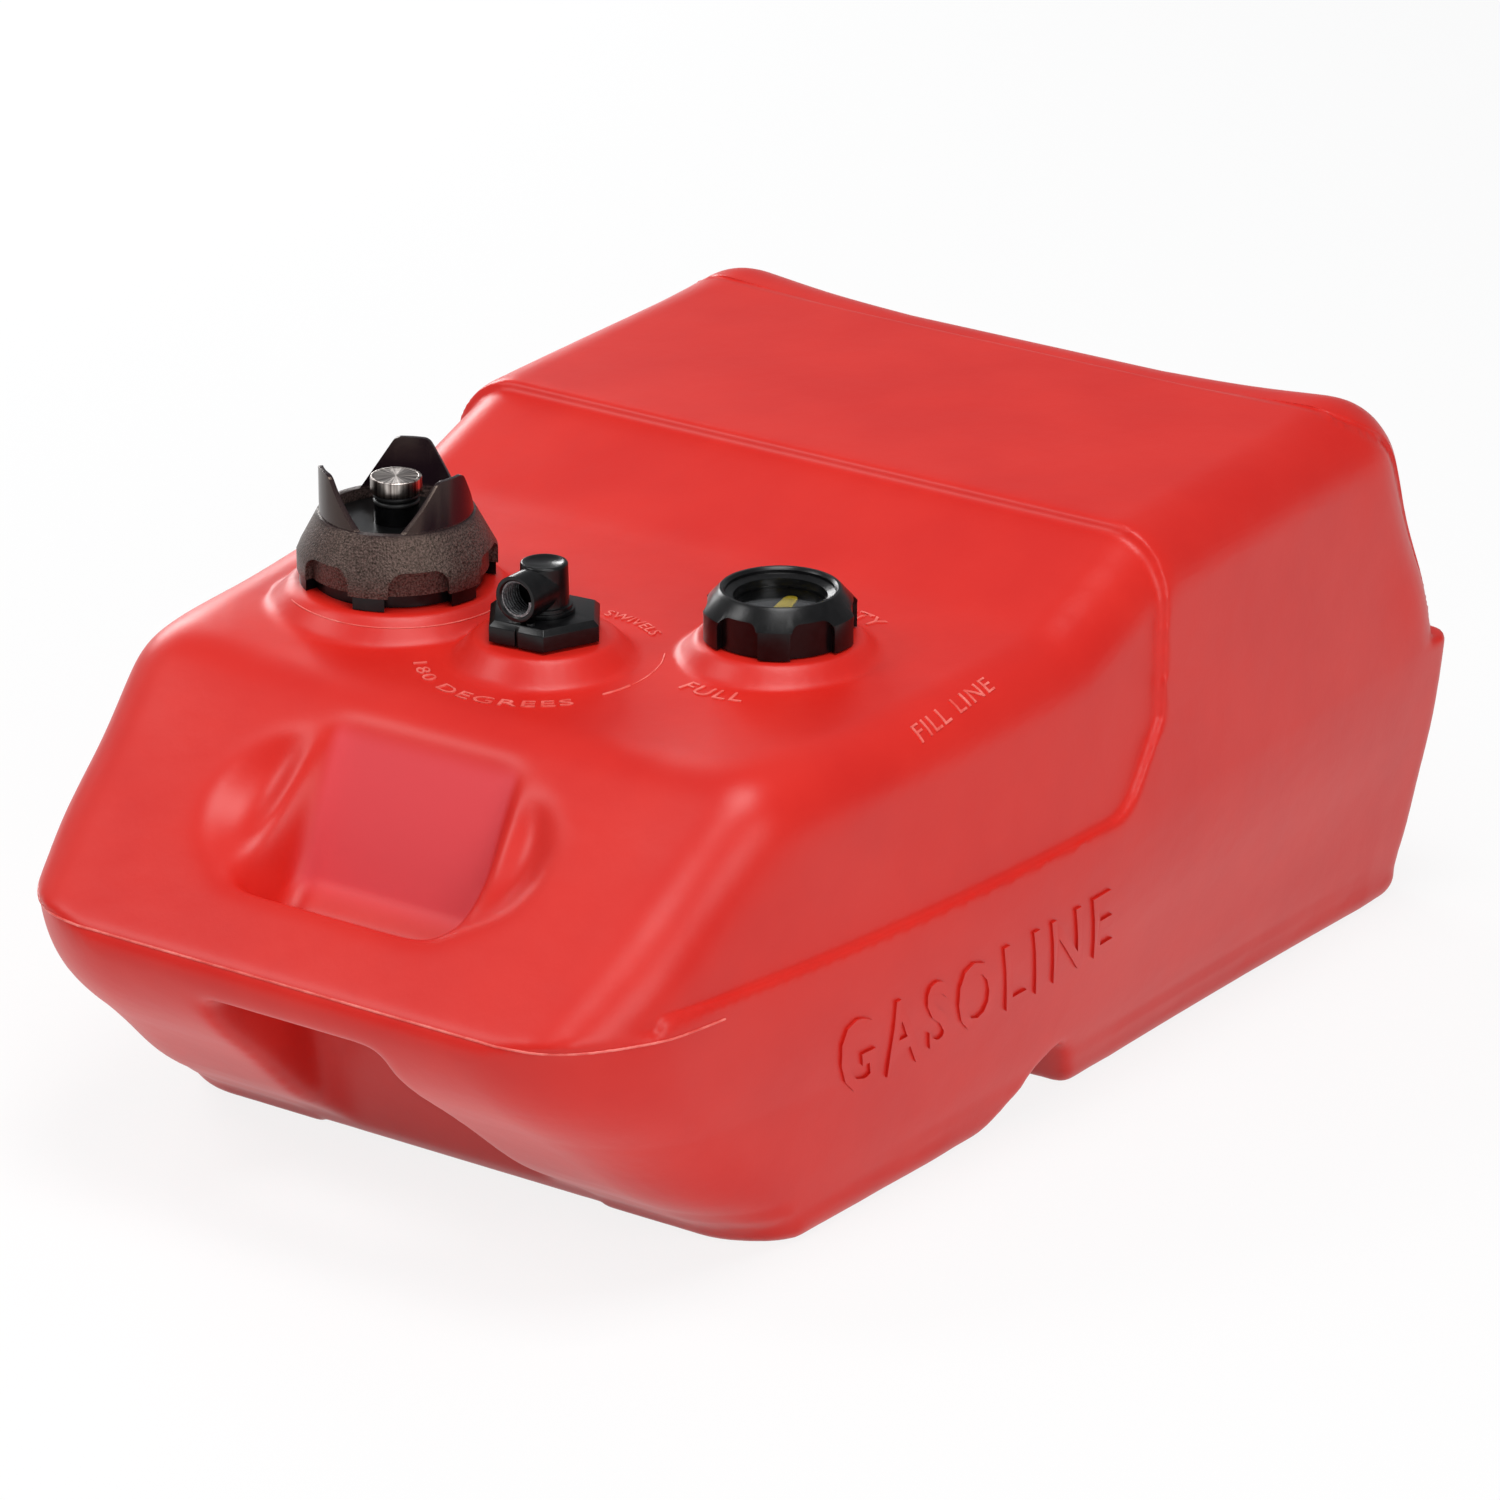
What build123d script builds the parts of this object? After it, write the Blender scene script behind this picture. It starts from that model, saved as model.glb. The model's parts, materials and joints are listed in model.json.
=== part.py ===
"""Portable outboard fuel tank, about 25 litres, with a vented fill cap, a swivelling hose
outlet with its pickup tube, and a float gauge that turns a pointer by a twisted strip.

Millimetres, +Z up, front with the carrying handle towards -Y.
The origin lies on the floor under the middle of the tank.
"""
import math
import os

from build123d import *

os.makedirs("parts", exist_ok=True)

# ---------------------------------------------------------------- tank body: driving sizes
wall = 4.2  # moulded wall
lip_z = 112.0  # height of the parting line
lip_front = -275.0
lip_rear = 275.0
lip_half_front = 130.5  # half width where the side curve would meet the front line
lip_half = 172.0  # half width at the widest place
lip_half_rear = 165.5
widest_y = 50.0
lip_front_radius = 62.0
lip_rear_radius = 12.0
nose_radius = 25.0  # rounds the lip at the front, seen from the side
knuckle_z = 90.0  # where the leaning lower faces turn up to the lip
knuckle_reach = 22.0  # how far above and below the turn its rounding goes
lower_sections = [0, 25, 50, 70, 80, 90, 100, lip_z]
upper_step = 3.6  # how far the upper half stands inside the lip

base_front = -164.0
base_rear = 269.0
base_half_front = 139.5
base_half = 145.5
base_half_rear = 152.0
base_front_radius = 32.0
base_rear_radius = 17.0
base_edge_radius = 15.0

upper_draft = 3.0  # degrees
deck_front = (-170.0, 188.5)  # (y, z) of the deck's front corner, before rounding
ramp_foot = (0.0, 195.8)
ramp_crest = (59.0, 218.4)
top_rear = (231.0, 222.5)
deck_front_rounding = 30.0
ramp_foot_rounding = 55.0
ramp_crest_rounding = 36.0
top_rear_rounding = 36.0
top_edge_radius = 28.0

band_foot_z = 116.5  # the raised band's strip above the parting line
band_front_y = -232.0
band_foot_y = 26.0
band_knee = (51.0, 148.0)
band_top_front_y = 60.0
band_top_rear_y = 201.0
band_rear_knee = (222.0, 203.0)
band_rear_foot_y = 262.0
band_foot_radius = 24.0

# ---------------------------------------------------------------- handle, scoop and channel
bar_depth = 34.0  # front to back, at the parting line
slot_depth = 23.0
slot_half = 40.7
slot_corner = 9.0
bar_under = 18.0  # how far the bar reaches below the parting line
pocket_foot_z = 121.0
pocket_foot_y = -207.0
pocket_head_z = 190.0
pocket_head_y = -175.0
pocket_half = 42.5
pocket_mouth_half = 94.0  # at the height of pocket_head_z
pocket_lean = 19.0
pocket_corner = 9.0
scoop_half_top = 39.0
scoop_half_base = 54.0

channel_front_y = -38.0
channel_apex = (11.0, 27.0)
channel_rear_y = 23.0
channel_apex_radius = 7.0

# ---------------------------------------------------------------- fittings on the deck
seat_z = 196.0  # the flat tops of the three bosses
boss_slope = 9.0  # how much wider a boss is at its foot
boss_drop = 10.0
boss_rounding = 3.0

fill_at = (-79.6, -96.9)
fill_boss_radius = 40.0
fill_neck_radius = 29.0
fill_neck_wall = 3.5
fill_neck_height = 19.0
cap_radius = 38.0
cap_skirt_wall = 2.3
cap_skirt_height = 13.0
cap_cone_radius = 30.0
cap_cone_height = 28.0
cap_opening_radius = 27.0
cap_floor_clearance = 0.6
cap_skirt_low = 5.8  # the outer shell starts here, above the insert's lobed flange
lobe_count = 6
scallop_depth = 3.4
scallop_first_angle = -40.0  # degrees
scallop_angle = 36.0
scallop_height = 15.5
scallop_arch = 6.0
gasket_thickness = 1.6
insert_plate = 3.0
insert_flange_radius = 37.2
insert_scallop_margin = 1.2
cap_cone_wall = 2.0
thread_clearance = 0.4
part_clearance = 0.3
vent_column_radius = 8.5
vent_column_height = 7.0
vent_seal_radius = 8.9
vent_seal_height = 4.6
vent_knob_radius = 9.8
vent_knob_height = 6.4
knob_chamfer = 0.6
vent_stem_radius = 3.0
vent_stem_drop = 14.0
vent_port_radius = 0.9
vent_port_circle = 5.6
vent_port_count = 4
running_clearance = 0.06
petal_count = 3
petal_first_angle = 114.0  # direction of the first petal, seen from above
petal_radius = 29.2
petal_wall = 1.8
petal_top = 47.0
petal_half_base = 19.0
petal_half_top = 6.5
petal_corner = 4.0
petal_root = 3.0  # how far each petal reaches down into the cap

outlet_at = (0.0, -111.4)
outlet_boss_radius = 27.0
outlet_hole_radius = 9.6
outlet_gasket_thickness = 1.2
outlet_gasket_radius = 17.0
hex_across_flats = 40.7
hex_height = 8.1
hex_bevel = 2.0
hex_slit = 1.2
hex_slit_depth = 1.4
hex_slit_turn = -85.0  # degrees
hex_nub_radius = 1.6
hex_nub_height = 0.8
hex_nub_reach = 16.2
hex_nub_turn = -72.0
hex_turn = 5.0  # degrees
spigot_radius = 9.2
spigot_drop = 26.0
journal_radius = 6.5
journal_drop = 9.0
journal_bore = 3.2
o_ring_section = 0.75  # radius
o_ring_height = 5.3
o_ring_groove_depth = 1.55
snap_ring_low = 1.6  # the ring that keeps the journal in its bore
snap_ring_height = 1.2
snap_ring_inner = 5.6
snap_ring_outer = 7.6
foot_radius = 11.4
foot_height = 1.7
foot_step_radius = 10.5
foot_step_height = 1.4
tower_radius = 9.3
tower_top_radius = 8.9
tower_top = 28.5  # above seat_z
elbow_edge = 1.0
branch_radius = 8.8
branch_height = 19.0
branch_reach = 18.1
thread_bore_radius = 6.85
thread_bore_depth = 13.0
thread_mouth_chamfer = 0.6
pickup_radius = 4.0
pickup_wall = 1.0
pickup_socket = 9.0
strainer_radius = 6.5
strainer_height = 22.0
strainer_floor_gap = 3.0
strainer_slots = 6

gauge_at = (72.4, -62.5)
gauge_boss_radius = 31.5
gauge_neck_radius = 22.0
gauge_neck_bore = 18.6
gauge_neck_height = 8.0
gauge_gasket_thickness = 1.2
gauge_ring_radius = 29.3
gauge_ring_skirt = 11.5
gauge_ring_height = 19.0
gauge_rim_radius = 23.6
gauge_rim_bevel = 1.0
gauge_opening_radius = 20.5
gauge_ledge_radius = 17.6
gauge_ledge_wall = 2.4
gauge_scallop_depth = 2.6
gauge_scallop_height = 14.0
gauge_scallop_arch = 5.0
gauge_scallop_turn = 10.0  # degrees on from the fill cap's scallops
head_flange = 1.8
head_cup_radius = 16.5
head_cup_depth = 5.5
head_wall = 1.7
window_thickness = 1.6
slip_washer_thickness = 0.8
dial_thickness = 0.8
pointer_thickness = 1.4
pointer_turn = 107.0  # degrees, at rest
pointer_length = 12.5
pointer_hub_radius = 3.4
pointer_tip_radius = 2.6
pointer_lift = 1.2
spindle_journal_radius = 1.5
strip_width = 5.0
strip_thickness = 1.0
strip_turn = 250.0  # degrees over the float's travel
strip_step = 15.0  # degrees between the strip's sections
float_travel = 130.0
float_radius = 15.5
float_height = 24.0
float_edge = 2.0
float_bore_radius = 3.4
float_plate = 2.0  # the slotted plate that follows the strip
follower_clearance = 0.2
rod_radius = 1.6
rod_spacing = 19.0
rod_clearance = 0.3
guide_foot_radius = 13.0
guide_foot_thickness = 3.0


# ---------------------------------------------------------------- forms of the tank body
def side_corners(outline, half_front):
    return outline.vertices().filter_by(lambda v: abs(v.X) > half_front / 3)


def plan(z, front, rear, half_front, half, half_rear, inset, front_radius=0.0, rear_radius=0.0):
    """The tank seen from above at one height: bowed sides between a front and a rear line."""
    with BuildSketch(Plane.XY.offset(z)) as outline:
        with BuildLine():
            front_corner = (half_front, front)
            widest = (half, widest_y)
            rear_corner = (half_rear, rear)
            Line((0, front), front_corner)
            TangentArc(widest, front_corner, tangent=(0, -1))
            TangentArc(widest, rear_corner, tangent=(0, 1))
            Line(rear_corner, (0, rear))
            mirror(about=Plane.YZ)
        make_face()
        if inset:
            offset(amount=-inset, kind=Kind.INTERSECTION)
        if front_radius:
            fillet(side_corners(outline, half_front).group_by(Axis.Y)[0], front_radius - inset)
            fillet(side_corners(outline, half_front).group_by(Axis.Y)[-1], rear_radius - inset)
    return outline.sketch


base_outline = [base_front, base_rear, base_half_front, base_half, base_half_rear]
lip_outline = [lip_front, lip_rear, lip_half_front, lip_half, lip_half_rear]


def spread(z):
    """How far out a lower face is at one height: 0 at the base, 1 at the lip, round between."""
    if z >= knuckle_z + knuckle_reach:
        return 1.0
    straight = z / knuckle_z
    beyond = max(0.0, z - knuckle_z + knuckle_reach)
    return straight - beyond**2 / (4 * knuckle_reach * knuckle_z)


def between(low, high, share):
    return low + (high - low) * share


def lower_form(inset):
    """The lower half: from the rounded base outline out to the lip."""
    with BuildPart() as form:
        for height in lower_sections:
            z = max(height, inset)
            share = spread(z)
            sizes = [between(low, high, share) for low, high in zip(base_outline, lip_outline)]
            add(plan(z, *sizes, inset, between(base_front_radius, lip_front_radius, share),
                     between(base_rear_radius, lip_rear_radius, share)))
        loft()
        fillet(form.edges().group_by(Axis.Z)[0], base_edge_radius - inset)
    return form.part


def upper_form(inset):
    """The upper half: tapered sides under the slope, deck, ramp, top and raked back."""
    points = [(lip_front + inset, lip_z)]
    points += [(y, z - inset) for y, z in (deck_front, ramp_foot, ramp_crest, top_rear)]
    points += [(lip_rear - inset, lip_z)]
    roundings = [0, deck_front_rounding, ramp_foot_rounding, ramp_crest_rounding,
                 top_rear_rounding - inset, 0]
    with BuildPart() as form:
        add(plan(lip_z, lip_front, lip_rear, lip_half_front, lip_half, lip_half_rear, inset))
        extrude(amount=top_rear[1] - lip_z + wall, taper=upper_draft)
        with BuildSketch(Plane.YZ) as side_view:
            with BuildLine():
                Polyline(points, close=True)
            make_face()
            for point, rounding in zip(points, roundings):
                if rounding:
                    fillet(side_view.vertices().sort_by_distance(point)[0], rounding)
        extrude(amount=lip_half * 2, both=True, mode=Mode.INTERSECT)
        shoulders = form.edges().filter_by(
            lambda e: e.center().Z > lip_z + 1
            and abs(e.center().X) > lip_half_front / 2
            and abs(e.tangent_at(0.5).X) < 0.3
            and not (abs(e.center().Y - widest_y) < 2 and abs(e.tangent_at(0.5).Z) > 0.9))
        fillet(shoulders, top_edge_radius - inset)
    return form.part


def nose_side(inset):
    """The region behind the rounded nose, seen from the side."""
    above = top_rear[1] + wall
    slope = (deck_front[0] - lip_front) / (deck_front[1] - lip_z)
    front = lip_front + inset
    with BuildPart() as region:
        with BuildSketch(Plane.YZ) as side_view:
            with BuildLine():
                Polyline((front, -wall), (front, lip_z), (front + slope * (above - lip_z), above),
                         (lip_rear + wall, above), (lip_rear + wall, -wall), close=True)
            make_face()
            nose = side_view.vertices().sort_by_distance((front, lip_z))[0]
            fillet(nose, nose_radius - inset)
        extrude(amount=lip_half * 2, both=True)
    return region.part


def band_slab():
    """The region, seen from the side, in which the raised band stands proud."""
    above = top_rear[1] + wall
    with BuildPart() as slab:
        with BuildSketch(Plane.YZ) as side_view:
            with BuildLine():
                Polyline((band_front_y, lip_z - wall), (band_front_y, band_foot_z),
                         (band_foot_y, band_foot_z), band_knee, (band_top_front_y, above),
                         (band_top_rear_y, above), (band_top_rear_y, ramp_crest[1]),
                         band_rear_knee, (band_rear_foot_y, lip_z),
                         (band_rear_foot_y, lip_z - wall), close=True)
            make_face()
            foot = side_view.vertices().sort_by_distance((band_foot_y, band_foot_z))[0]
            fillet(foot, band_foot_radius)
        extrude(amount=lip_half * 2, both=True)
    return slab.part


def quad(z, rear_y, rear_half, front_y, front_half, radius):
    """A four-sided outline with rounded corners, as one section of a handle cut."""
    with BuildSketch(Plane.XY.offset(z)) as section:
        with BuildLine():
            Polyline((-rear_half, rear_y), (rear_half, rear_y), (front_half, front_y),
                     (-front_half, front_y), close=True)
        make_face()
        fillet(section.vertices(), radius)
    return section.sketch


slot_front = lip_front + bar_depth
slot_rear = slot_front + slot_depth


def handle_pocket(grow):
    """The finger pocket behind the bar: a flat leaning back wall and flared cheeks."""
    corner = pocket_corner + grow
    with BuildPart() as cut:
        add(quad(lip_z - grow, slot_rear + grow, slot_half + grow,
                 slot_front - grow, slot_half + grow, corner))
        add(quad(pocket_foot_z - grow, pocket_foot_y + grow, pocket_half + grow,
                 slot_front - grow, pocket_half + grow, corner))
        loft(ruled=True)
        add(quad(pocket_foot_z - grow, pocket_foot_y + grow, pocket_half + grow,
                 slot_front - grow, pocket_half + grow, corner))
        add(quad(pocket_head_z, pocket_head_y + grow, pocket_half + grow,
                 slot_front - pocket_lean - grow, pocket_mouth_half + grow, corner))
        loft(ruled=True)
    return cut.part


def handle_slot(grow):
    """The way through behind the bar."""
    with BuildPart() as cut:
        add(quad(lip_z - bar_under - wall, slot_rear + grow, slot_half + grow,
                 slot_front - grow, slot_half + grow, slot_corner + grow))
        extrude(amount=bar_under + wall * 2)
    return cut.part


def front_scoop(grow):
    """The hollow under the bar, open to the front and below."""
    bar_base_z = lip_z - bar_under
    lean = (slot_rear - base_front) / lip_z
    head_y = base_front + lean * bar_base_z
    with BuildPart() as cut:
        add(quad(-wall, base_front - lean * wall + grow, scoop_half_base + grow,
                 base_front - lip_z, scoop_half_base + grow, slot_corner + grow))
        add(quad(bar_base_z + grow, head_y + grow, scoop_half_top + grow,
                 lip_front - wall, scoop_half_top + grow, slot_corner + grow))
        loft(ruled=True)
    return cut.part


def base_channel(grow):
    """The channel across the base: a gentle front slope, a steep back wall."""
    apex_y, apex_z = channel_apex
    with BuildPart() as cut:
        with BuildSketch(Plane.YZ) as section:
            with BuildLine():
                Polyline((channel_front_y - grow, -wall), (channel_front_y - grow, 0),
                         (apex_y, apex_z + grow), (channel_rear_y + grow, 0),
                         (channel_rear_y + grow, -wall), close=True)
            make_face()
            apex = section.vertices().sort_by_distance((apex_y, apex_z + grow))[0]
            fillet(apex, channel_apex_radius + grow)
        extrude(amount=lip_half * 2, both=True)
    return cut.part


def boss(at, radius):
    """A soft round mound with a flat top, on the deck."""
    with BuildPart() as mound:
        with BuildSketch(Plane.XZ) as section:
            with BuildLine():
                Polyline((0, seat_z - boss_drop), (0, seat_z), (radius, seat_z),
                         (radius + boss_slope, seat_z - boss_drop), close=True)
            make_face()
            fillet(section.vertices().sort_by_distance((radius, seat_z))[0], boss_rounding)
        revolve(axis=Axis.Z)
    return Pos(at[0], at[1], 0) * mound.part


def post(at, radius, low, high, mode=Mode.ADD):
    """A plain round solid between two heights, joined to or cut from the current part."""
    with Locations((at[0], at[1], (low + high) / 2)):
        Cylinder(radius, high - low, mode=mode)


def turned(at, points, mode=Mode.ADD):
    """A turned form from its half section, given as (radius, height above the boss)."""
    half = Plane((at[0], at[1], seat_z), x_dir=(1, 0, 0), z_dir=(0, -1, 0))
    with BuildSketch(half) as section:
        with BuildLine():
            Polyline(points, close=True)
        make_face()
    revolve(section.sketch, axis=Axis((at[0], at[1], 0), (0, 0, 1)), mode=mode)


def ring(at, inner, outer, low, high, mode=Mode.ADD):
    turned(at, [(inner, low), (outer, low), (outer, high), (inner, high)], mode)


# ---------------------------------------------------------------- tank shell
fittings = [
    (fill_at, fill_boss_radius, fill_neck_radius, fill_neck_radius - fill_neck_wall,
     fill_neck_height),
    (outlet_at, outlet_boss_radius, outlet_hole_radius + wall, outlet_hole_radius, 0),
    (gauge_at, gauge_boss_radius, gauge_neck_radius, gauge_neck_bore, gauge_neck_height),
]
outer_halves = [lower_form(0), upper_form(upper_step), upper_form(0) & band_slab()]
outer_cuts = [front_scoop(0), handle_slot(0), handle_pocket(0), base_channel(0)]
inner_halves = [lower_form(wall), upper_form(upper_step + wall)]
inner_cuts = [front_scoop(wall), handle_slot(wall), handle_pocket(wall), base_channel(wall)]
bosses = [boss(at, radius) for at, radius, *rest in fittings]

with BuildPart() as fuel_space:
    add(inner_halves)
    add(nose_side(wall), mode=Mode.INTERSECT)
    add(inner_cuts, mode=Mode.SUBTRACT)
    for at, radius, neck, bore, height in fittings:
        post(at, radius - wall, seat_z - boss_drop - wall, seat_z - wall)
    for at, radius, neck, bore, height in fittings:
        post(at, neck, seat_z - wall - boss_drop / 2, seat_z + height, Mode.SUBTRACT)
with BuildPart() as tank_shell:
    add(outer_halves)
    add(nose_side(0), mode=Mode.INTERSECT)
    add(outer_cuts, mode=Mode.SUBTRACT)
    add(bosses)
    add(fuel_space, mode=Mode.SUBTRACT)
    for at, radius, neck, bore, height in fittings:
        post(at, neck, seat_z - wall - boss_drop / 2, seat_z + height)
        post(at, bore, seat_z - boss_drop * 2, seat_z + height + 1, Mode.SUBTRACT)
tank_shell.part.label = "tank_shell"


# ---------------------------------------------------------------- vented fill cap
def arched_cut(at, outer, inner, half_width, low, high, arch):
    """Scallops round a cap: pockets with arched heads, cut down to the inner radius."""
    with BuildPart() as one:
        with BuildSketch(Plane.YZ.offset(inner / 2)) as front:
            with BuildLine():
                Polyline((-half_width, low), (half_width, low), (half_width, high),
                         (-half_width, high), close=True)
            make_face()
            if arch:
                fillet(front.vertices().group_by(Axis.Y)[-1], arch)
        extrude(amount=outer)
        with BuildSketch(Plane.XY.offset(low)):
            Circle(inner)
        extrude(amount=high - low, mode=Mode.SUBTRACT)
    place = Pos(at[0], at[1], seat_z)
    turns = [scallop_first_angle + 360.0 * i / lobe_count for i in range(lobe_count)]
    return [place * Rot(0, 0, turn) * one.part for turn in turns]


def petals():
    """Upright curved guards round the vent knob, cut from one thin ring."""
    with BuildPart() as one:
        with BuildSketch(Plane.YZ) as outline:
            with BuildLine():
                Polyline((-petal_half_base, cap_cone_height - petal_root),
                         (petal_half_base, cap_cone_height - petal_root),
                         (petal_half_base, cap_cone_height), (petal_half_top, petal_top),
                         (-petal_half_top, petal_top), (-petal_half_base, cap_cone_height),
                         close=True)
            make_face()
            fillet(outline.vertices().group_by(Axis.Y)[-1], petal_corner)
        extrude(amount=petal_radius * 2)
        with BuildSketch(Plane.XY):
            Circle(petal_radius)
            Circle(petal_radius - petal_wall, mode=Mode.SUBTRACT)
        extrude(amount=petal_top * 2, mode=Mode.INTERSECT)
    place = Pos(fill_at[0], fill_at[1], seat_z)
    turns = [petal_first_angle + 360.0 * i / petal_count for i in range(petal_count)]
    return [place * Rot(0, 0, turn) * one.part for turn in turns]


neck_top = fill_neck_height
plate_low = neck_top + gasket_thickness
plate_high = plate_low + insert_plate
column_top = plate_high + vent_column_height
seal_top = column_top + vent_seal_height
knob_top = seal_top + vent_knob_height
insert_bore = fill_neck_radius + thread_clearance
flange_high = cap_skirt_low - part_clearance
panel_radius = cap_radius - scallop_depth
shell_bore = panel_radius - cap_skirt_wall
cone_slope = (cap_radius - cap_cone_radius) / (cap_cone_height - cap_skirt_height)
cone_depth = cap_cone_wall * math.hypot(1, cone_slope)
bore_top = cap_radius - cone_slope * (plate_high - cap_skirt_height) - cone_depth
bore_shoulder = plate_high - (shell_bore - bore_top) / cone_slope
scallop_half = cap_radius * math.sin(math.radians(scallop_angle / 2))
stem_hole = vent_stem_radius + running_clearance

with BuildPart() as fill_cap_gasket:
    ring(fill_at, fill_neck_radius - fill_neck_wall, fill_neck_radius, neck_top, plate_low)
fill_cap_gasket.part.label = "fill_cap_gasket"

flange_scallops = arched_cut(fill_at, cap_radius, shell_bore,
                             scallop_half + insert_scallop_margin, 0, flange_high, 0)
with BuildPart() as fill_cap_insert:
    turned(fill_at, [
        (0, plate_low), (insert_bore, plate_low), (insert_bore, cap_floor_clearance),
        (insert_flange_radius, cap_floor_clearance), (insert_flange_radius, flange_high),
        (shell_bore - part_clearance, flange_high),
        (shell_bore - part_clearance, bore_shoulder),
        (bore_top - part_clearance, plate_high), (vent_column_radius, plate_high),
        (vent_column_radius, column_top), (0, column_top)])
    add(flange_scallops, mode=Mode.SUBTRACT)
    post(fill_at, stem_hole, seat_z + plate_low - 1, seat_z + column_top + 1, Mode.SUBTRACT)
    with Locations((fill_at[0], fill_at[1], seat_z + plate_low)):
        with PolarLocations(vent_port_circle, vent_port_count):
            Cylinder(vent_port_radius, column_top * 2, mode=Mode.SUBTRACT)
fill_cap_insert.part.label = "fill_cap_insert"

lobe_backs = arched_cut(fill_at, panel_radius, shell_bore, scallop_half + cap_skirt_wall,
                        0, cap_skirt_height - cap_skirt_wall, 0)
with BuildPart() as lobe_hollows:
    ring(fill_at, shell_bore, cap_radius - cap_skirt_wall, 0, cap_skirt_height - cap_skirt_wall)
    add(lobe_backs, mode=Mode.SUBTRACT)
scallops = arched_cut(fill_at, cap_radius, panel_radius, scallop_half, 0, scallop_height,
                      scallop_arch)
petal_forms = petals()
with BuildPart() as fill_cap_shell:
    turned(fill_at, [
        (shell_bore, cap_skirt_low), (cap_radius, cap_skirt_low),
        (cap_radius, cap_skirt_height), (cap_cone_radius, cap_cone_height),
        (cap_opening_radius, cap_cone_height), (cap_opening_radius, plate_high),
        (bore_top, plate_high), (shell_bore, bore_shoulder)])
    add(scallops, mode=Mode.SUBTRACT)
    add(lobe_hollows, mode=Mode.SUBTRACT)
    add(petal_forms)
fill_cap_shell.part.label = "fill_cap_shell"

with BuildPart() as vent_seal:
    ring(fill_at, stem_hole, vent_seal_radius, column_top, seal_top)
vent_seal.part.label = "vent_seal"

with BuildPart() as vent_stem:
    post(fill_at, vent_stem_radius, seat_z + plate_high - vent_stem_drop, seat_z + seal_top)
vent_stem.part.label = "vent_stem"

with BuildPart() as vent_knob:
    post(fill_at, vent_knob_radius, seat_z + seal_top, seat_z + knob_top)
    chamfer(vent_knob.edges().group_by(Axis.Z)[-1], knob_chamfer)
    fillet(vent_knob.edges().group_by(Axis.Z)[0], knob_chamfer)
vent_knob.part.label = "vent_knob"

# ---------------------------------------------------------------- outlet with its swivel elbow
hex_low = outlet_gasket_thickness
hex_top = hex_low + hex_height
spigot_low = seat_z - spigot_drop
journal_low = hex_top - journal_drop
foot_low = hex_top + running_clearance
foot_high = foot_low + foot_height
step_high = foot_high + foot_step_height
snap_ring_high = snap_ring_low + snap_ring_height
snap_groove_radius = snap_ring_inner - running_clearance
snap_groove_low = snap_ring_low - running_clearance
snap_groove_high = snap_ring_high + running_clearance
groove_radius = journal_radius - o_ring_groove_depth
groove_low = o_ring_height - o_ring_section - running_clearance
groove_high = o_ring_height + o_ring_section + running_clearance

with BuildPart() as outlet_gasket:
    ring(outlet_at, outlet_hole_radius, outlet_gasket_radius, 0, hex_low)
outlet_gasket.part.label = "outlet_gasket"

with BuildPart() as hex_base:
    with BuildSketch(Plane.XY.offset(seat_z + hex_low)):
        with Locations(outlet_at):
            RegularPolygon(hex_across_flats / 2, 6, major_radius=False, rotation=hex_turn)
    extrude(amount=hex_height)
    chamfer(hex_base.edges().group_by(Axis.Z)[-1], hex_bevel)
    with Locations(Pos(outlet_at[0], outlet_at[1], seat_z) * Rot(0, 0, hex_slit_turn)):
        with Locations((hex_across_flats / 2, 0, hex_top / 2)):
            Box(hex_slit_depth * 2, hex_slit, hex_height * 2, mode=Mode.SUBTRACT)
    with Locations(Pos(outlet_at[0], outlet_at[1], seat_z) * Rot(0, 0, hex_nub_turn)):
        with Locations((hex_nub_reach, 0, hex_top)):
            Cylinder(hex_nub_radius, hex_nub_height * 2)
    post(outlet_at, spigot_radius, spigot_low, seat_z + hex_low)
    post(outlet_at, journal_bore, spigot_low, seat_z + hex_top, Mode.SUBTRACT)
    post(outlet_at, journal_radius + running_clearance, seat_z + journal_low - 1,
         seat_z + hex_top + 1, Mode.SUBTRACT)
    ring(outlet_at, journal_radius, snap_ring_outer, snap_ring_low, snap_ring_high,
         Mode.SUBTRACT)
    post(outlet_at, pickup_radius, spigot_low - 1, spigot_low + pickup_socket, Mode.SUBTRACT)
hex_base.part.label = "outlet_hex_base"

with BuildPart() as snap_ring:
    ring(outlet_at, snap_ring_inner, snap_ring_outer, snap_ring_low, snap_ring_high)
snap_ring.part.label = "elbow_snap_ring"

with BuildPart() as elbow:
    turned(outlet_at, [
        (0, journal_low), (journal_radius, journal_low), (journal_radius, snap_groove_low),
        (snap_groove_radius, snap_groove_low), (snap_groove_radius, snap_groove_high),
        (journal_radius, snap_groove_high), (journal_radius, groove_low),
        (groove_radius, groove_low), (groove_radius, groove_high),
        (journal_radius, groove_high), (journal_radius, foot_low), (foot_radius, foot_low),
        (foot_radius, foot_high), (foot_step_radius, foot_high),
        (foot_step_radius, step_high), (tower_radius, step_high),
        (tower_top_radius, tower_top), (0, tower_top)])
    fillet(elbow.edges().group_by(Axis.Z)[-1], elbow_edge)
    branch = Plane((outlet_at[0], outlet_at[1], seat_z + branch_height), z_dir=(0, -1, 0))
    with BuildSketch(branch):
        Circle(branch_radius)
    extrude(amount=branch_reach)
    post(outlet_at, journal_bore, seat_z + journal_low, seat_z + branch_height, Mode.SUBTRACT)
    with BuildSketch(branch):
        Circle(journal_bore)
    extrude(amount=branch_reach, mode=Mode.SUBTRACT)
    with BuildSketch(branch.offset(branch_reach)):
        Circle(thread_bore_radius)
    extrude(amount=-thread_bore_depth, mode=Mode.SUBTRACT)
    mouth = elbow.edges().filter_by(GeomType.CIRCLE).group_by(Axis.Y)[0]
    chamfer(mouth.sort_by(SortBy.RADIUS)[0], thread_mouth_chamfer)
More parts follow.
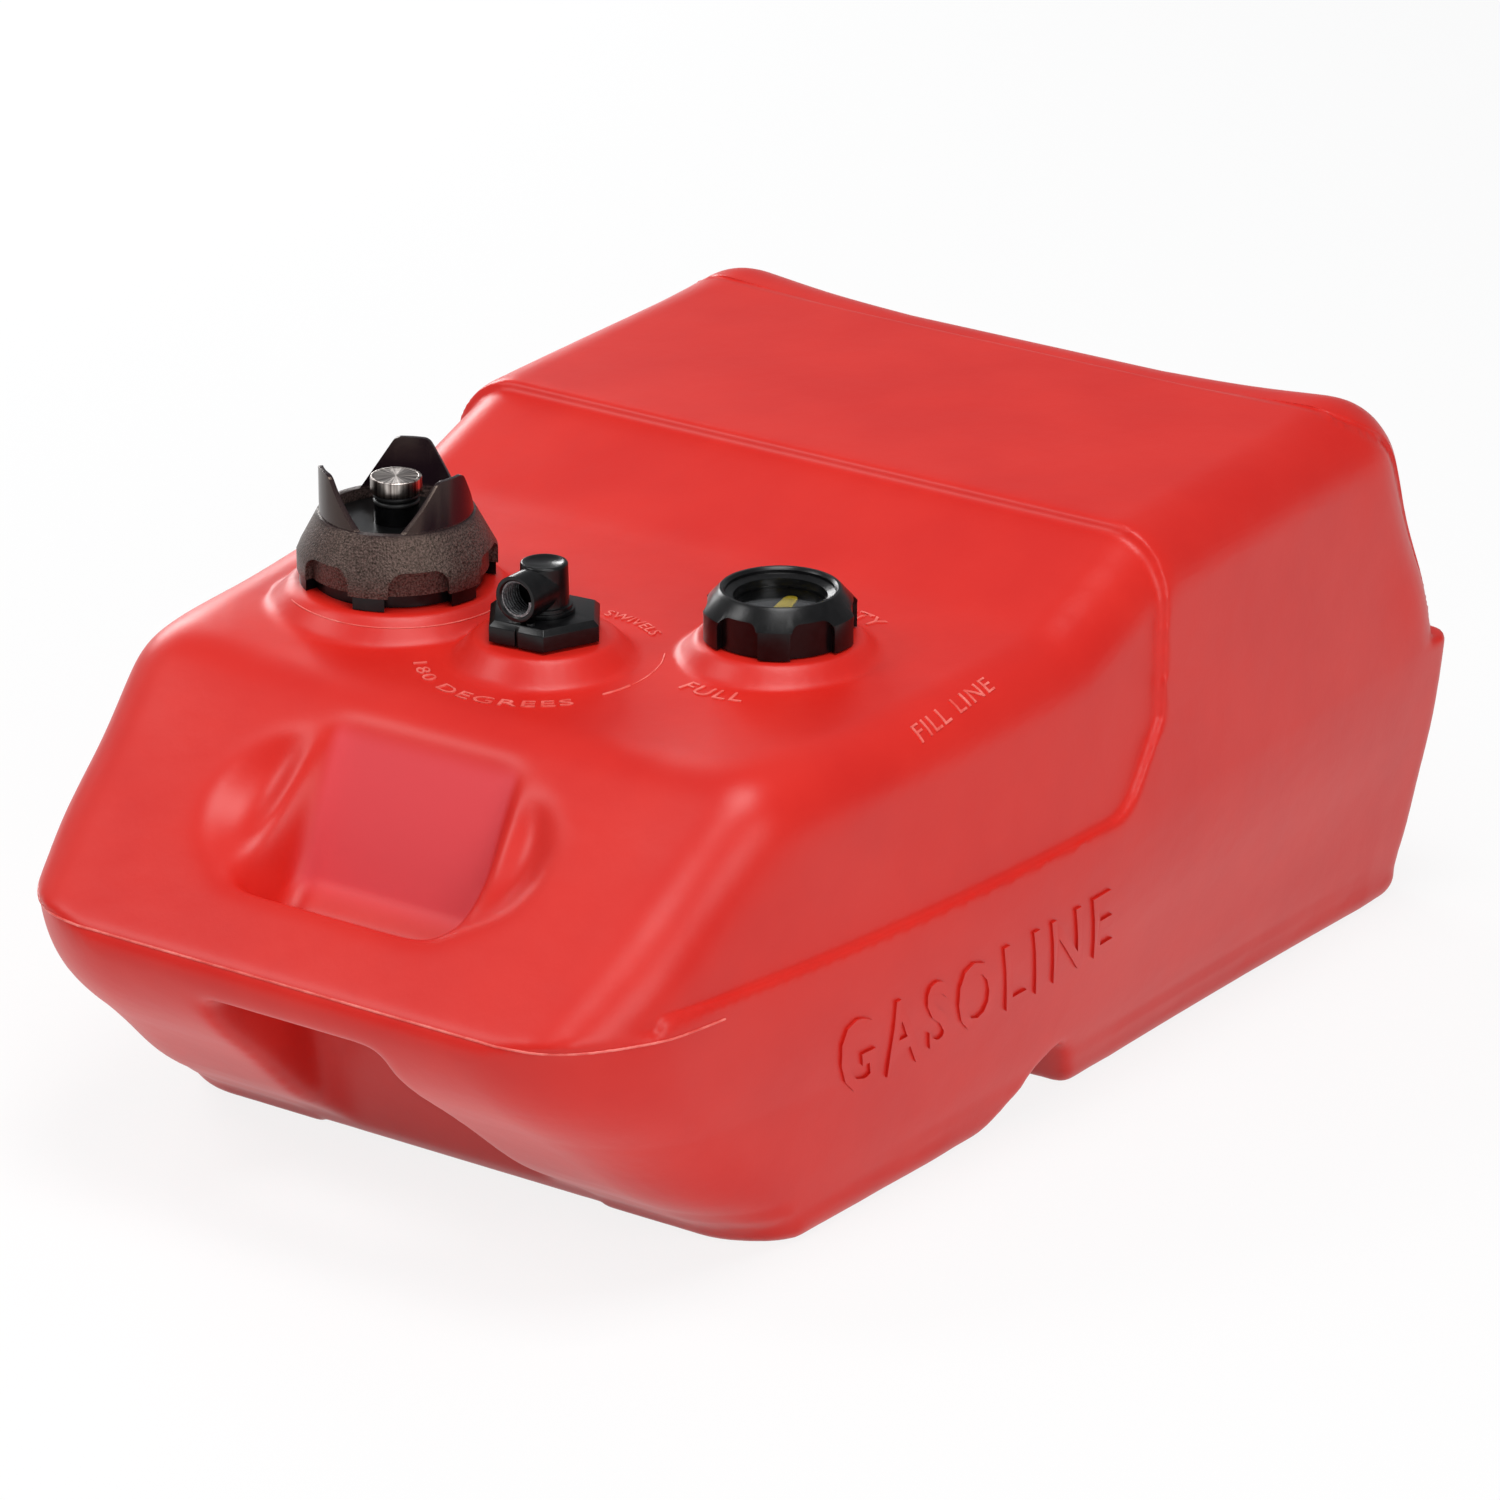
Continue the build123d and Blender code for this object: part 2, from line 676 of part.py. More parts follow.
elbow.part.label = "outlet_elbow"

with BuildPart() as elbow_o_ring:
    with Locations((outlet_at[0], outlet_at[1], seat_z + o_ring_height)):
        Torus(journal_radius - o_ring_section, o_ring_section)
elbow_o_ring.part.label = "elbow_o_ring"

strainer_low = wall + strainer_floor_gap
strainer_high = strainer_low + strainer_height
pickup_low = strainer_low + strainer_height / 2
pickup_high = spigot_low + pickup_socket
with BuildPart() as pickup_tube:
    post(outlet_at, pickup_radius, pickup_low, pickup_high)
    post(outlet_at, pickup_radius - pickup_wall, pickup_low, pickup_high, Mode.SUBTRACT)
pickup_tube.part.label = "pickup_tube"

with BuildPart() as pickup_strainer:
    post(outlet_at, strainer_radius, strainer_low, strainer_high)
    post(outlet_at, strainer_radius - pickup_wall, strainer_low + pickup_wall,
         strainer_high - pickup_wall * 2, Mode.SUBTRACT)
    post(outlet_at, pickup_radius, pickup_low, strainer_high, Mode.SUBTRACT)
    with Locations((outlet_at[0], outlet_at[1], strainer_low + strainer_height * 0.4)):
        with PolarLocations(strainer_radius, strainer_slots):
            Box(pickup_wall * 3, pickup_wall * 2, strainer_height / 2, mode=Mode.SUBTRACT)
pickup_strainer.part.label = "pickup_strainer"

# ---------------------------------------------------------------- float gauge
gasket_top = gauge_neck_height + gauge_gasket_thickness
head_top = gasket_top + head_flange
window_top = head_top + window_thickness
washer_top = window_top + slip_washer_thickness
ledge_top = washer_top + gauge_ledge_wall
cup_floor = head_top - head_cup_depth
head_low = cup_floor - head_wall
head_radius = gauge_neck_bore - part_clearance
spindle_hole = spindle_journal_radius + running_clearance
dial_top = cup_floor + dial_thickness
pointer_low = dial_top + pointer_lift
ring_bore = gauge_neck_radius + thread_clearance

with BuildPart() as gauge_gasket:
    ring(gauge_at, gauge_neck_bore, gauge_neck_radius, gauge_neck_height, gasket_top)
gauge_gasket.part.label = "gauge_gasket"

with BuildPart() as gauge_head:
    turned(gauge_at, [
        (0, head_low), (head_radius, head_low), (head_radius, gasket_top),
        (gauge_neck_radius, gasket_top), (gauge_neck_radius, head_top),
        (head_cup_radius, head_top), (head_cup_radius, cup_floor), (0, cup_floor)])
    post(gauge_at, spindle_hole, seat_z + head_low - 1, seat_z + cup_floor + 1, Mode.SUBTRACT)
gauge_head.part.label = "gauge_head"

with BuildPart() as gauge_window:
    post(gauge_at, gauge_neck_radius, seat_z + head_top, seat_z + window_top)
gauge_window.part.label = "gauge_window"

with BuildPart() as slip_washer:
    ring(gauge_at, gauge_ledge_radius, gauge_neck_radius, window_top, washer_top)
slip_washer.part.label = "gauge_slip_washer"

gauge_scallop_half = gauge_ring_radius * math.sin(math.radians(scallop_angle / 2))
gauge_scallops = [Rot(0, 0, gauge_scallop_turn) * form for form in arched_cut(
    (0, 0), gauge_ring_radius, gauge_ring_radius - gauge_scallop_depth, gauge_scallop_half,
    0, gauge_scallop_height, gauge_scallop_arch)]
gauge_cuts = [Pos(gauge_at[0], gauge_at[1], 0) * form for form in gauge_scallops]
with BuildPart() as gauge_ring:
    turned(gauge_at, [
        (ring_bore, cap_floor_clearance), (gauge_ring_radius, cap_floor_clearance),
        (gauge_ring_radius, gauge_ring_skirt),
        (gauge_rim_radius, gauge_ring_height - gauge_rim_bevel),
        (gauge_rim_radius - gauge_rim_bevel, gauge_ring_height),
        (gauge_opening_radius + gauge_rim_bevel, gauge_ring_height),
        (gauge_opening_radius, gauge_ring_height - gauge_rim_bevel),
        (gauge_opening_radius, ledge_top + gauge_rim_bevel), (gauge_ledge_radius, ledge_top),
        (gauge_ledge_radius, washer_top), (ring_bore, washer_top)])
    add(gauge_cuts, mode=Mode.SUBTRACT)
gauge_ring.part.label = "gauge_ring"

with BuildPart() as gauge_dial:
    ring(gauge_at, pointer_hub_radius, head_cup_radius - part_clearance, cup_floor, dial_top)
gauge_dial.part.label = "gauge_dial"

# the float's slotted plate meets the strip where the strip lies along X
guide_low = wall + strainer_floor_gap
guide_top = guide_low + guide_foot_thickness
float_high = guide_top + float_height
plate_middle = float_high - float_plate / 2
strip_rate = strip_turn / float_travel
strip_low = guide_top + strip_thickness
strip_high = seat_z + head_low - strip_thickness
strip_sections = math.ceil((strip_high - strip_low) * strip_rate / strip_step)

with BuildPart() as spindle:
    for i in range(strip_sections + 1):
        z = between(strip_low, strip_high, i / strip_sections)
        with BuildSketch(Plane.XY.offset(z)):
            with Locations(gauge_at):
                Rectangle(strip_width, strip_thickness, rotation=(z - plate_middle) * strip_rate)
    loft()
    post(gauge_at, spindle_journal_radius, guide_low, strip_low)
    post(gauge_at, spindle_journal_radius, strip_high, seat_z + pointer_low)
spindle.part.label = "gauge_spindle"

with BuildPart() as pointer:
    place = Pos(gauge_at[0], gauge_at[1], seat_z + pointer_low) * Rot(0, 0, pointer_turn)
    with BuildSketch(Plane(place)):
        Circle(pointer_hub_radius)
        with Locations((pointer_length, 0)):
            Circle(pointer_tip_radius)
        make_hull()
    extrude(amount=pointer_thickness)
pointer.part.label = "gauge_pointer"

rod_places = [(gauge_at[0] + side * rod_spacing / 2, gauge_at[1]) for side in (-1, 1)]
with BuildPart() as left_rod:
    post(rod_places[0], rod_radius, guide_top, seat_z + head_low)
left_rod.part.label = "float_guide_rod_left"

with BuildPart() as right_rod:
    post(rod_places[1], rod_radius, guide_top, seat_z + head_low)
right_rod.part.label = "float_guide_rod_right"

with BuildPart() as guide_foot:
    post(gauge_at, guide_foot_radius, guide_low, guide_top)
    post(gauge_at, spindle_hole, guide_low, guide_top, Mode.SUBTRACT)
guide_foot.part.label = "float_guide_foot"

with BuildPart() as gauge_float:
    post(gauge_at, float_radius, guide_top, float_high)
    fillet(gauge_float.edges().filter_by(GeomType.CIRCLE), float_edge)
    post(gauge_at, float_bore_radius, guide_top, float_high - float_plate, Mode.SUBTRACT)
    for place in rod_places:
        post(place, rod_radius + rod_clearance, guide_top, float_high, Mode.SUBTRACT)
    with Locations((gauge_at[0], gauge_at[1], plate_middle)):
        Box(strip_width + 2 * follower_clearance, strip_thickness + 2 * follower_clearance,
            float_plate * 2, mode=Mode.SUBTRACT)
gauge_float.part.label = "gauge_float"

# ---------------------------------------------------------------- files
pieces = [tank_shell, fill_cap_gasket, fill_cap_insert, fill_cap_shell, vent_seal, vent_stem,
          vent_knob, outlet_gasket, hex_base, snap_ring, elbow, elbow_o_ring, pickup_tube,
          pickup_strainer, gauge_gasket, gauge_head, gauge_window, slip_washer, gauge_ring,
          gauge_dial, spindle, pointer, left_rod, right_rod, guide_foot, gauge_float]
for piece in pieces:
    export_step(piece.part, f"parts/{piece.part.label}.step")
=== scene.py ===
# %% [markdown]
# # A portable outboard fuel tank
# The tank is one blow-moulded body of red polyethylene, with a black vented cap, a swivelling
# outlet and a float gauge on its deck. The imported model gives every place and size. This lesson
# dresses it: first the helpers, then the body, the marks moulded on it, the fittings, the
# finishes, and last the studio.

# %% Load the frame
import json
import math
import bpy
import numpy as np
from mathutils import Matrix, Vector

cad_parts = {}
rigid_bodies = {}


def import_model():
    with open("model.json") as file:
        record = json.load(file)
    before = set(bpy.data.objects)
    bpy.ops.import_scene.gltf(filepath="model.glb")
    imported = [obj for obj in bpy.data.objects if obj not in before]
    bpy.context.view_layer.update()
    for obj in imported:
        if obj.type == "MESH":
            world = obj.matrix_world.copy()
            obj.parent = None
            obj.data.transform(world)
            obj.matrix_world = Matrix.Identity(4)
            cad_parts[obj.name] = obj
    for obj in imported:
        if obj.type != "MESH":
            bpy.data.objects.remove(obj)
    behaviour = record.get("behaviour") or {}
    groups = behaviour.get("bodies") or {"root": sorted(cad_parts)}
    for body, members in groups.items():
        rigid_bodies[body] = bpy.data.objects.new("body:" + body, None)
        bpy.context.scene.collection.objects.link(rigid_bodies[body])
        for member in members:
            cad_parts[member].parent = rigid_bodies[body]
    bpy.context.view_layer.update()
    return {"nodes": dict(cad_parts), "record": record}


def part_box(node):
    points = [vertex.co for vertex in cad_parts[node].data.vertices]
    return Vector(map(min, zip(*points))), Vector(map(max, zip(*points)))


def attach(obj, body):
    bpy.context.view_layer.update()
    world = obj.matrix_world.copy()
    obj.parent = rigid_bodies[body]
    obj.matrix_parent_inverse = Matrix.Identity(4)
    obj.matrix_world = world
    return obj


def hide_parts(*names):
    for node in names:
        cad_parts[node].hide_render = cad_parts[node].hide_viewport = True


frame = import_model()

# %% [markdown]
# ## Small helpers
# By hand one clicks a piece, goes to edit mode, picks some faces and runs a tool. These helpers
# do the clicking: choose pieces, pick faces by their place, apply one modifier with its
# settings. Everything is in metres, so a millimetre is a named size.

# %% Choosing, picking and applying
mm = 0.001


def choose(*pieces):
    """Select only these pieces; the last one is active."""
    bpy.ops.object.select_all(action="DESELECT")
    for piece in pieces:
        piece.select_set(True)
    bpy.context.view_layer.objects.active = pieces[-1]


def named(name):
    """The piece that was just added, under its own name."""
    piece = bpy.context.object
    piece.name = name
    piece.data.name = name
    return piece


def apply(piece, kind, **settings):
    """Add one modifier with its settings and apply it."""
    choose(piece)
    step = piece.modifiers.new(kind.lower(), kind)
    for setting, value in settings.items():
        setattr(step, setting, value)
    bpy.ops.object.modifier_apply(modifier=step.name)


def settle(piece):
    """Put the piece's place, turn and scale into its mesh."""
    choose(piece)
    bpy.ops.object.transform_apply(location=True, rotation=True, scale=True)


def points_of(piece):
    """The places of the piece's points, one row each."""
    places = np.empty(len(piece.data.vertices) * 3)
    piece.data.vertices.foreach_get("co", places)
    return places.reshape(-1, 3)


def place_points(piece, places):
    """Put the piece's points at these places."""
    piece.data.vertices.foreach_set("co", places.ravel())
    piece.data.update()


def pick_faces(piece, test):
    """Leave the piece in edit mode with those faces selected whose centre and normal pass."""
    count = len(piece.data.polygons)
    centres, normals = np.empty(count * 3), np.empty(count * 3)
    piece.data.polygons.foreach_get("center", centres)
    piece.data.polygons.foreach_get("normal", normals)
    picked = test(centres.reshape(-1, 3), normals.reshape(-1, 3))
    choose(piece)
    bpy.context.tool_settings.mesh_select_mode = (False, False, True)
    bpy.ops.object.mode_set(mode="EDIT")
    bpy.ops.mesh.select_all(action="DESELECT")
    bpy.ops.object.mode_set(mode="OBJECT")
    piece.data.polygons.foreach_set("select", picked)
    bpy.ops.object.mode_set(mode="EDIT")
    return int(picked.sum())


def edit_all(piece):
    """Leave the piece in edit mode with everything selected."""
    choose(piece)
    bpy.ops.object.mode_set(mode="EDIT")
    bpy.ops.mesh.select_all(action="SELECT")


def leave_edit():
    bpy.ops.object.mode_set(mode="OBJECT")


def smooth_below(piece, degrees):
    """Smooth shading, but for the edges that turn by more than so many degrees."""
    choose(piece)
    bpy.ops.object.shade_smooth_by_angle(angle=math.radians(degrees))


def copy_node(node, name):
    """A merged copy of a CAD node's mesh, as a piece of its own."""
    piece = bpy.data.objects.new(name, frame["nodes"][node].data.copy())
    piece.data.name = name
    bpy.context.scene.collection.objects.link(piece)
    piece.data.materials.clear()
    choose(piece)
    bpy.ops.mesh.customdata_custom_splitnormals_clear()
    edit_all(piece)
    bpy.ops.mesh.remove_doubles(threshold=0.004 * mm)
    leave_edit()
    return piece


def soften(piece, width, segments=3, angle=32.0):
    """Clean a merged copy to whole faces, round its edges and smooth between them."""
    edit_all(piece)
    bpy.ops.mesh.dissolve_limited(angle_limit=math.radians(0.6))
    leave_edit()
    apply(piece, "BEVEL", width=width, segments=segments, limit_method="ANGLE",
          angle_limit=math.radians(angle), use_clamp_overlap=True)
    smooth_below(piece, 38)


def middle(node):
    """The upright axis of a round node: x and y of its centre, in metres."""
    low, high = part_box(node)
    return (low.x + high.x) / 2, (low.y + high.y) / 2


fill_axis = middle("fill_cap_gasket")
outlet_axis = middle("outlet_gasket")
gauge_axis = middle("gauge_gasket")
seat_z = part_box("outlet_gasket")[0].z
lip_top = 112 * mm
above_all = 230 * mm  # flat pieces start here, and are dropped on to the deck
print("deck fittings stand at z", round(seat_z / mm, 1), "mm, at",
      [tuple(round(v / mm, 1) for v in axis) for axis in (fill_axis, outlet_axis, gauge_axis)])

# %% [markdown]
# ## The moulded body
# A blow-moulded tank has no sharp corner: the parison stretches over the mould and rounds
# every edge, most of all round the carrying handle. It could be sculpted, or bevelled edge by
# edge. Here the outer skin of the CAD body is remeshed to an even fine net, and the net is
# relaxed where the real mould is soft: much in the finger pocket and the scoop, hardly at all
# on the crisp step of the raised band and on the lip.

# %% Take the outer skin, with the bores of the three fittings
skin = copy_node("tank_shell", "tank_skin")
neck_radius = {fill_axis: 29.2 * mm, outlet_axis: 9.8 * mm, gauge_axis: 22.2 * mm}
necks_from_z = 150 * mm


def in_a_neck(centres, normals):
    inside = np.zeros(len(centres), bool)
    for (x, y), radius in neck_radius.items():
        inside |= np.hypot(centres[:, 0] - x, centres[:, 1] - y) < radius
    return inside & (centres[:, 2] > necks_from_z)


def looks_inwards(face):
    """A face out by the sides or the rear that looks back at the tank's middle."""
    place, normal = face.center.xy, face.normal.xy
    far_out = abs(place.x) > 140 * mm or place.y > 250 * mm
    return far_out and normal.dot(place.normalized()) < -0.25


def joined_by_edges(piece, first):
    """The faces that hang together edge by edge with the first, stopping at inner walls."""
    beside = {}
    for face in piece.data.polygons:
        for edge in face.edge_keys:
            beside.setdefault(edge, []).append(face.index)
    found, waiting = {first}, [first]
    while waiting:
        for edge in piece.data.polygons[waiting.pop()].edge_keys:
            for other in beside[edge]:
                if other not in found and not looks_inwards(piece.data.polygons[other]):
                    found.add(other)
                    waiting.append(other)
    return found


print("neck faces removed:", pick_faces(skin, in_a_neck))
bpy.ops.mesh.delete(type="FACE")
leave_edit()
lowest = min(skin.data.polygons, key=lambda face: face.center.z)
outer = joined_by_edges(skin, lowest.index)
pick_faces(skin, lambda centres, normals: np.array(
    [index not in outer for index in range(len(centres))]))
bpy.ops.mesh.delete(type="FACE")
bpy.context.tool_settings.mesh_select_mode = (True, False, False)
bpy.ops.mesh.select_all(action="SELECT")
bpy.ops.mesh.fill_holes(sides=0)
leave_edit()
neck_bores = ((fill_axis, 3.5 * mm, 26 * mm), (outlet_axis, 0.0, 20 * mm),
              (gauge_axis, 3.4 * mm, 20 * mm))
for axis, wall, depth in neck_bores:
    pick_faces(skin, lambda centres, normals: (
        (np.hypot(centres[:, 0] - axis[0], centres[:, 1] - axis[1]) < 1 * mm)
        & (abs(centres[:, 2] - seat_z) < 0.5 * mm)))
    if wall:
        bpy.ops.mesh.inset(thickness=wall)
    bpy.ops.mesh.extrude_region_move(TRANSFORM_OT_translate={"value": (0, 0, -depth)})
    leave_edit()
print("outer skin:", len(skin.data.polygons), "faces")

# %% Remesh to an even net
net = 1.2 * mm


def remesh(piece):
    apply(piece, "REMESH", mode="VOXEL", voxel_size=net, use_smooth_shade=True)


remesh(skin)
print("net:", len(skin.data.polygons), "faces of", round(net / mm, 1), "mm")

# %% Hollow the finger pocket's mouth
# The cheeks' points above an egg, laid along the front slope, are pressed down on to it; the
# flat back wall between them stays. The pressed net is remeshed, so that it is even again.
slope_rise, slope_run = 76.5, 105.0  # from the parting line to the deck's front corner
slope = math.atan2(slope_rise, slope_run)
egg_at = np.array([0, -217, 156.5]) * mm
egg_wide, egg_long, egg_deep = 76 * mm, 46 * mm, 21 * mm  # half width, half length, depth
wall_half, wall_blend = 45 * mm, 12 * mm  # of the flat back wall
above_slope = 12 * mm  # what stands higher than this over the slope is no cheek
up_slope = np.array([0, math.cos(slope), math.sin(slope)])
off_slope = np.array([0, -math.sin(slope), math.cos(slope)])
places = points_of(skin)
from_egg = places - egg_at
out = from_egg @ off_slope
far = (from_egg[:, 0] / egg_wide) ** 2 + (from_egg @ up_slope / egg_long) ** 2
floor_of_egg = -egg_deep * np.sqrt(np.clip(1 - far, 0, 1))
beside_wall = np.clip((abs(from_egg[:, 0]) - wall_half) / wall_blend, 0, 1)
pressed = (far < 1) & (out > floor_of_egg) & (out < above_slope) & (beside_wall > 0)
places[pressed] += ((floor_of_egg - out) * beside_wall)[pressed, None] * off_slope
place_points(skin, places)
remesh(skin)
print("pressed in:", int(pressed.sum()), "points")


# %% Pull and relax the net by shares
def fade(value, full, gone):
    """1 up to the first value, 0 from the second on, straight between."""
    return np.clip((gone - value) / (gone - full), 0, 1)


def relax(piece, name, share, radius):
    """Smooth by about the given rounding radius, more or less from place to place."""
    group = piece.vertex_groups.new(name=name)
    steps = 16
    levels = np.round(share * steps).astype(int)
    for level in range(1, steps + 1):
        group.add(np.nonzero(levels == level)[0].tolist(), level / steps, "REPLACE")
    rounds = max(1, round(4 * (0.62 * radius / net) ** 2))  # it spreads as the rounds' root
    apply(piece, "SMOOTH", factor=0.5, iterations=rounds, vertex_group=name)
    print(name, "relaxed in", rounds, "rounds")


def outward(piece):
    """Each point's outward direction."""
    normals = np.empty(len(piece.data.vertices) * 3)
    piece.data.vertices.foreach_get("normal", normals)
    return normals.reshape(-1, 3)


def swell(piece, amount):
    """Move each point of the skin outwards by its own amount."""
    place_points(piece, points_of(piece) + outward(piece) * amount[:, None])
    print("swollen by", round(amount.min() / mm, 1), "to", round(amount.max() / mm, 1), "mm")


def hill(places, centre, spread):
    """1 at a place in mm and its mirror image, fading out over about the given distance."""
    x, y, z = places.T
    far = ((abs(x) - centre[0] * mm) ** 2 + (y - centre[1] * mm) ** 2
           + (z - centre[2] * mm) ** 2)
    return np.exp(-far / (2 * (spread * mm) ** 2))


# %% Tighten the base edge
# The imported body's base edge is rounder than the moulding's, so it is drawn out: the share
# is the sharp corner's lead over a rounded one, seen in the direction of each point's normal.
# The walls lean, so the corner turns by less than a right angle: least of all at the front.
rounding_to_fill = 11 * mm
side_turn, less_at_front = 77, 29  # degrees from the floor's normal to the wall's
just_above_floor = 0.02 * mm
relax(skin, "base_patch", fade(points_of(skin)[:, 2], 18 * mm, 24 * mm), 1.5 * mm)
x, y, z = points_of(skin).T
normals = outward(skin)
from_below = np.arccos(np.clip(-normals[:, 2], -1, 1))
frontness = fade(normals[:, 1] / np.maximum(np.hypot(normals[:, 0], normals[:, 1]), 1e-6),
                 -0.85, -0.25)
wall_turn = np.radians(side_turn - less_at_front * frontness)
lead = np.clip(np.cos(from_below - wall_turn / 2) / np.cos(wall_turn / 2) - 1, 0, 1)
under_scoop = (abs(x) < 66 * mm) & (y < -135 * mm)
in_channel = (abs(x) < 136 * mm) & (y > -52 * mm) & (y < 40 * mm)
swell(skin, rounding_to_fill * lead * fade(z, 14 * mm, 19 * mm) * ~(under_scoop | in_channel))
places = points_of(skin)
x, y, z = places.T
low = fade(z, 6 * mm, 62 * mm)
to_front = low * fade(y, -150 * mm, -95 * mm)
to_sides = low * fade(-abs(x), -140 * mm, -110 * mm) * fade(abs(y), 235 * mm, 262 * mm)
places[:, 0] += np.sign(x) * (1.0 * mm * to_front * fade(-abs(x), -90 * mm, -50 * mm)
                              + 1.6 * mm * to_sides)
places[:, 1] -= 5.5 * mm * to_front
places[:, 2] = np.maximum(places[:, 2], just_above_floor)
place_points(skin, places)
relax(skin, "base_edge", fade(z, 17 * mm, 27 * mm), 2.5 * mm)
x, y, z = points_of(skin).T
channel_ends = (fade(-abs(x), -128 * mm, -112 * mm) * fade(z, 24 * mm, 38 * mm)
                * fade(abs(y + 5 * mm), 45 * mm, 60 * mm))
relax(skin, "channel_ends", channel_ends, 6 * mm)

# %% Bring the rear strip near to the raised band, and fill out the corners
# The strip is what lies behind the band's rear edge, which leans forwards on its way up. The
# hills are at the rear corners of the top and of the lip, then at both ends of the slope's
# side edges. Last, the ends of the band's foot are melted into the lip.
places = points_of(skin)
x, y, z = places.T
band_rear = np.interp(z, [112 * mm, 203 * mm, 218.4 * mm], [262 * mm, 222 * mm, 201 * mm])
above_lip = np.clip((z - 113 * mm) / (3 * mm), 0, 1)
strip = np.clip((y - band_rear + 0.5 * mm) / mm, 0, 1) * above_lip
to_side = fade(-abs(x), -145 * mm, -60 * mm)
swell(skin, strip * (0.6 + 2.8 * to_side) * mm + 3.6 * mm * hill(places, (150, 236, 200), 26)
      + 3.5 * mm * hill(places, (168, 258, 138), 20))
places = points_of(skin)
swell(skin, 4.2 * mm * hill(places, (130, -158, 172), 30)
      + 2.4 * mm * hill(places, (147, -222, 128), 18))
places = points_of(skin)
off_lip = fade(-places[:, 2], -114 * mm, -112.4 * mm)
relax(skin, "band_front_ends", hill(places, (149, -232, 115), 7) * off_lip, 7 * mm)

# %% Relax the net where the mould is soft
x, y, z = points_of(skin).T
above = fade(-z, -(lip_top + 24 * mm), -(lip_top + 10 * mm))
front = fade(y, -170 * mm, -120 * mm)
relax(skin, "slope_edges", above * front * fade(-abs(x), -100 * mm, -80 * mm), 11 * mm)
x, y, z = points_of(skin).T
depth = (y + 275 * mm) * math.sin(slope) - (z - lip_top) * math.cos(slope)
mouth = (fade(abs(x), 92 * mm, 112 * mm) * fade(y, -166 * mm, -140 * mm)
         * fade(-z, -126 * mm, -112 * mm) * fade(depth, 16 * mm, 26 * mm))
relax(skin, "pocket_mouth", mouth, 12 * mm)
bar = (fade(abs(x), 50 * mm, 80 * mm) * fade(y, -228 * mm, -205 * mm)
       * fade(-z, -92 * mm, -80 * mm) * fade(-y, 262 * mm, 272 * mm))
relax(skin, "bar", bar, 7 * mm)
scoop = (fade(abs(x), 62 * mm, 80 * mm) * fade(y, -150 * mm, -138 * mm)
         * fade(z, 92 * mm, 102 * mm))
relax(skin, "scoop", scoop * fade(-z, -14 * mm, -6 * mm), 8 * mm)
edge_of_strip = strip * fade(y - band_rear, 4 * mm, 8 * mm)
relax(skin, "strip_line", edge_of_strip, 2.5 * mm)
x, y, z = points_of(skin).T
lip_front = fade(y, -256 * mm, -236 * mm) * fade(abs(z - 114 * mm), 16 * mm, 30 * mm)
relax(skin, "lip_front", lip_front, 8 * mm)
relax(skin, "all_over", np.ones(len(x)), 0.8 * mm)
within_cad = np.clip(points_of(skin), [-171.9 * mm, -274.2 * mm, just_above_floor],
                     [171.9 * mm, 274.9 * mm, 243 * mm])
place_points(skin, within_cad)

# %% Bring the net down to a light mesh that keeps the dense net's smooth light
most_triangles = 188000
dense = bpy.data.objects.new("dense_net", skin.data.copy())
bpy.context.scene.collection.objects.link(dense)
apply(skin, "DECIMATE", ratio=min(1.0, most_triangles / (2 * len(skin.data.polygons))),
      use_collapse_triangulate=True)
choose(skin)
bpy.ops.object.shade_smooth()
apply(skin, "DATA_TRANSFER", object=dense, use_loop_data=True,
      data_types_loops={"CUSTOM_NORMAL"}, loop_mapping="POLYINTERP_NEAREST")
skin.vertex_groups.clear()
print("tank skin:", len(skin.data.polygons), "triangles")
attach(skin, "tank")
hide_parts("tank_shell")
moulded = [skin]

# %% [markdown]
# ## The parting line
# Where the two halves of the mould close, a thin thread of plastic is left round the front of
# the lip and in the handle's slot. It could be cut into the skin; here the skin is sliced at
# the lip's height, and the slice's outline becomes a thin round thread.


# %% Slice the skin and give the outline a round section
def thread_from(piece, name, thickness):
    """Turn a piece of loose edges into a thin round thread."""
    choose(piece)
    bpy.ops.object.convert(target="CURVE")
    piece.data.bevel_depth = thickness / 2
    piece.data.bevel_resolution = 1
    piece.data.use_fill_caps = True
    bpy.ops.object.convert(target="MESH")
    thread = named(name)
    bpy.ops.object.shade_smooth()
    return thread


def lie_on(piece, axis="Z"):
    """Drop a flat piece on to the skin, against the direction of an axis."""
    apply(piece, "SHRINKWRAP", target=dense, wrap_method="PROJECT", offset=0.0,
          use_project_x=axis == "X", use_project_z=axis == "Z",
          use_negative_direction=True, use_positive_direction=False)


seam_z = lip_top - 1.2 * mm
seam_ends_y = -205 * mm
seam = bpy.data.objects.new("mould_seam", dense.data.copy())
bpy.context.scene.collection.objects.link(seam)
edit_all(seam)
bpy.ops.mesh.bisect(plane_co=(0, 0, seam_z), plane_no=(0, 0, 1),
                    clear_inner=True, clear_outer=True)
bpy.ops.mesh.select_all(action="SELECT")
bpy.ops.mesh.bisect(plane_co=(0, seam_ends_y, 0), plane_no=(0, 1, 0), clear_outer=True)
leave_edit()
seam = thread_from(seam, "mould_seam", 1.0 * mm)
moulded.append(seam)
print("parting line:", len(seam.data.polygons), "faces")

# %% [markdown]
# ## Lines and words moulded on the deck and the side
# They are engraved in the steel mould, so on the tank they stand proud by under a millimetre.
# Each is drawn flat, made a mesh, bent round its fitting if it has to be, dropped on to the
# skin and only then given its thickness, so it follows the skin's shape.


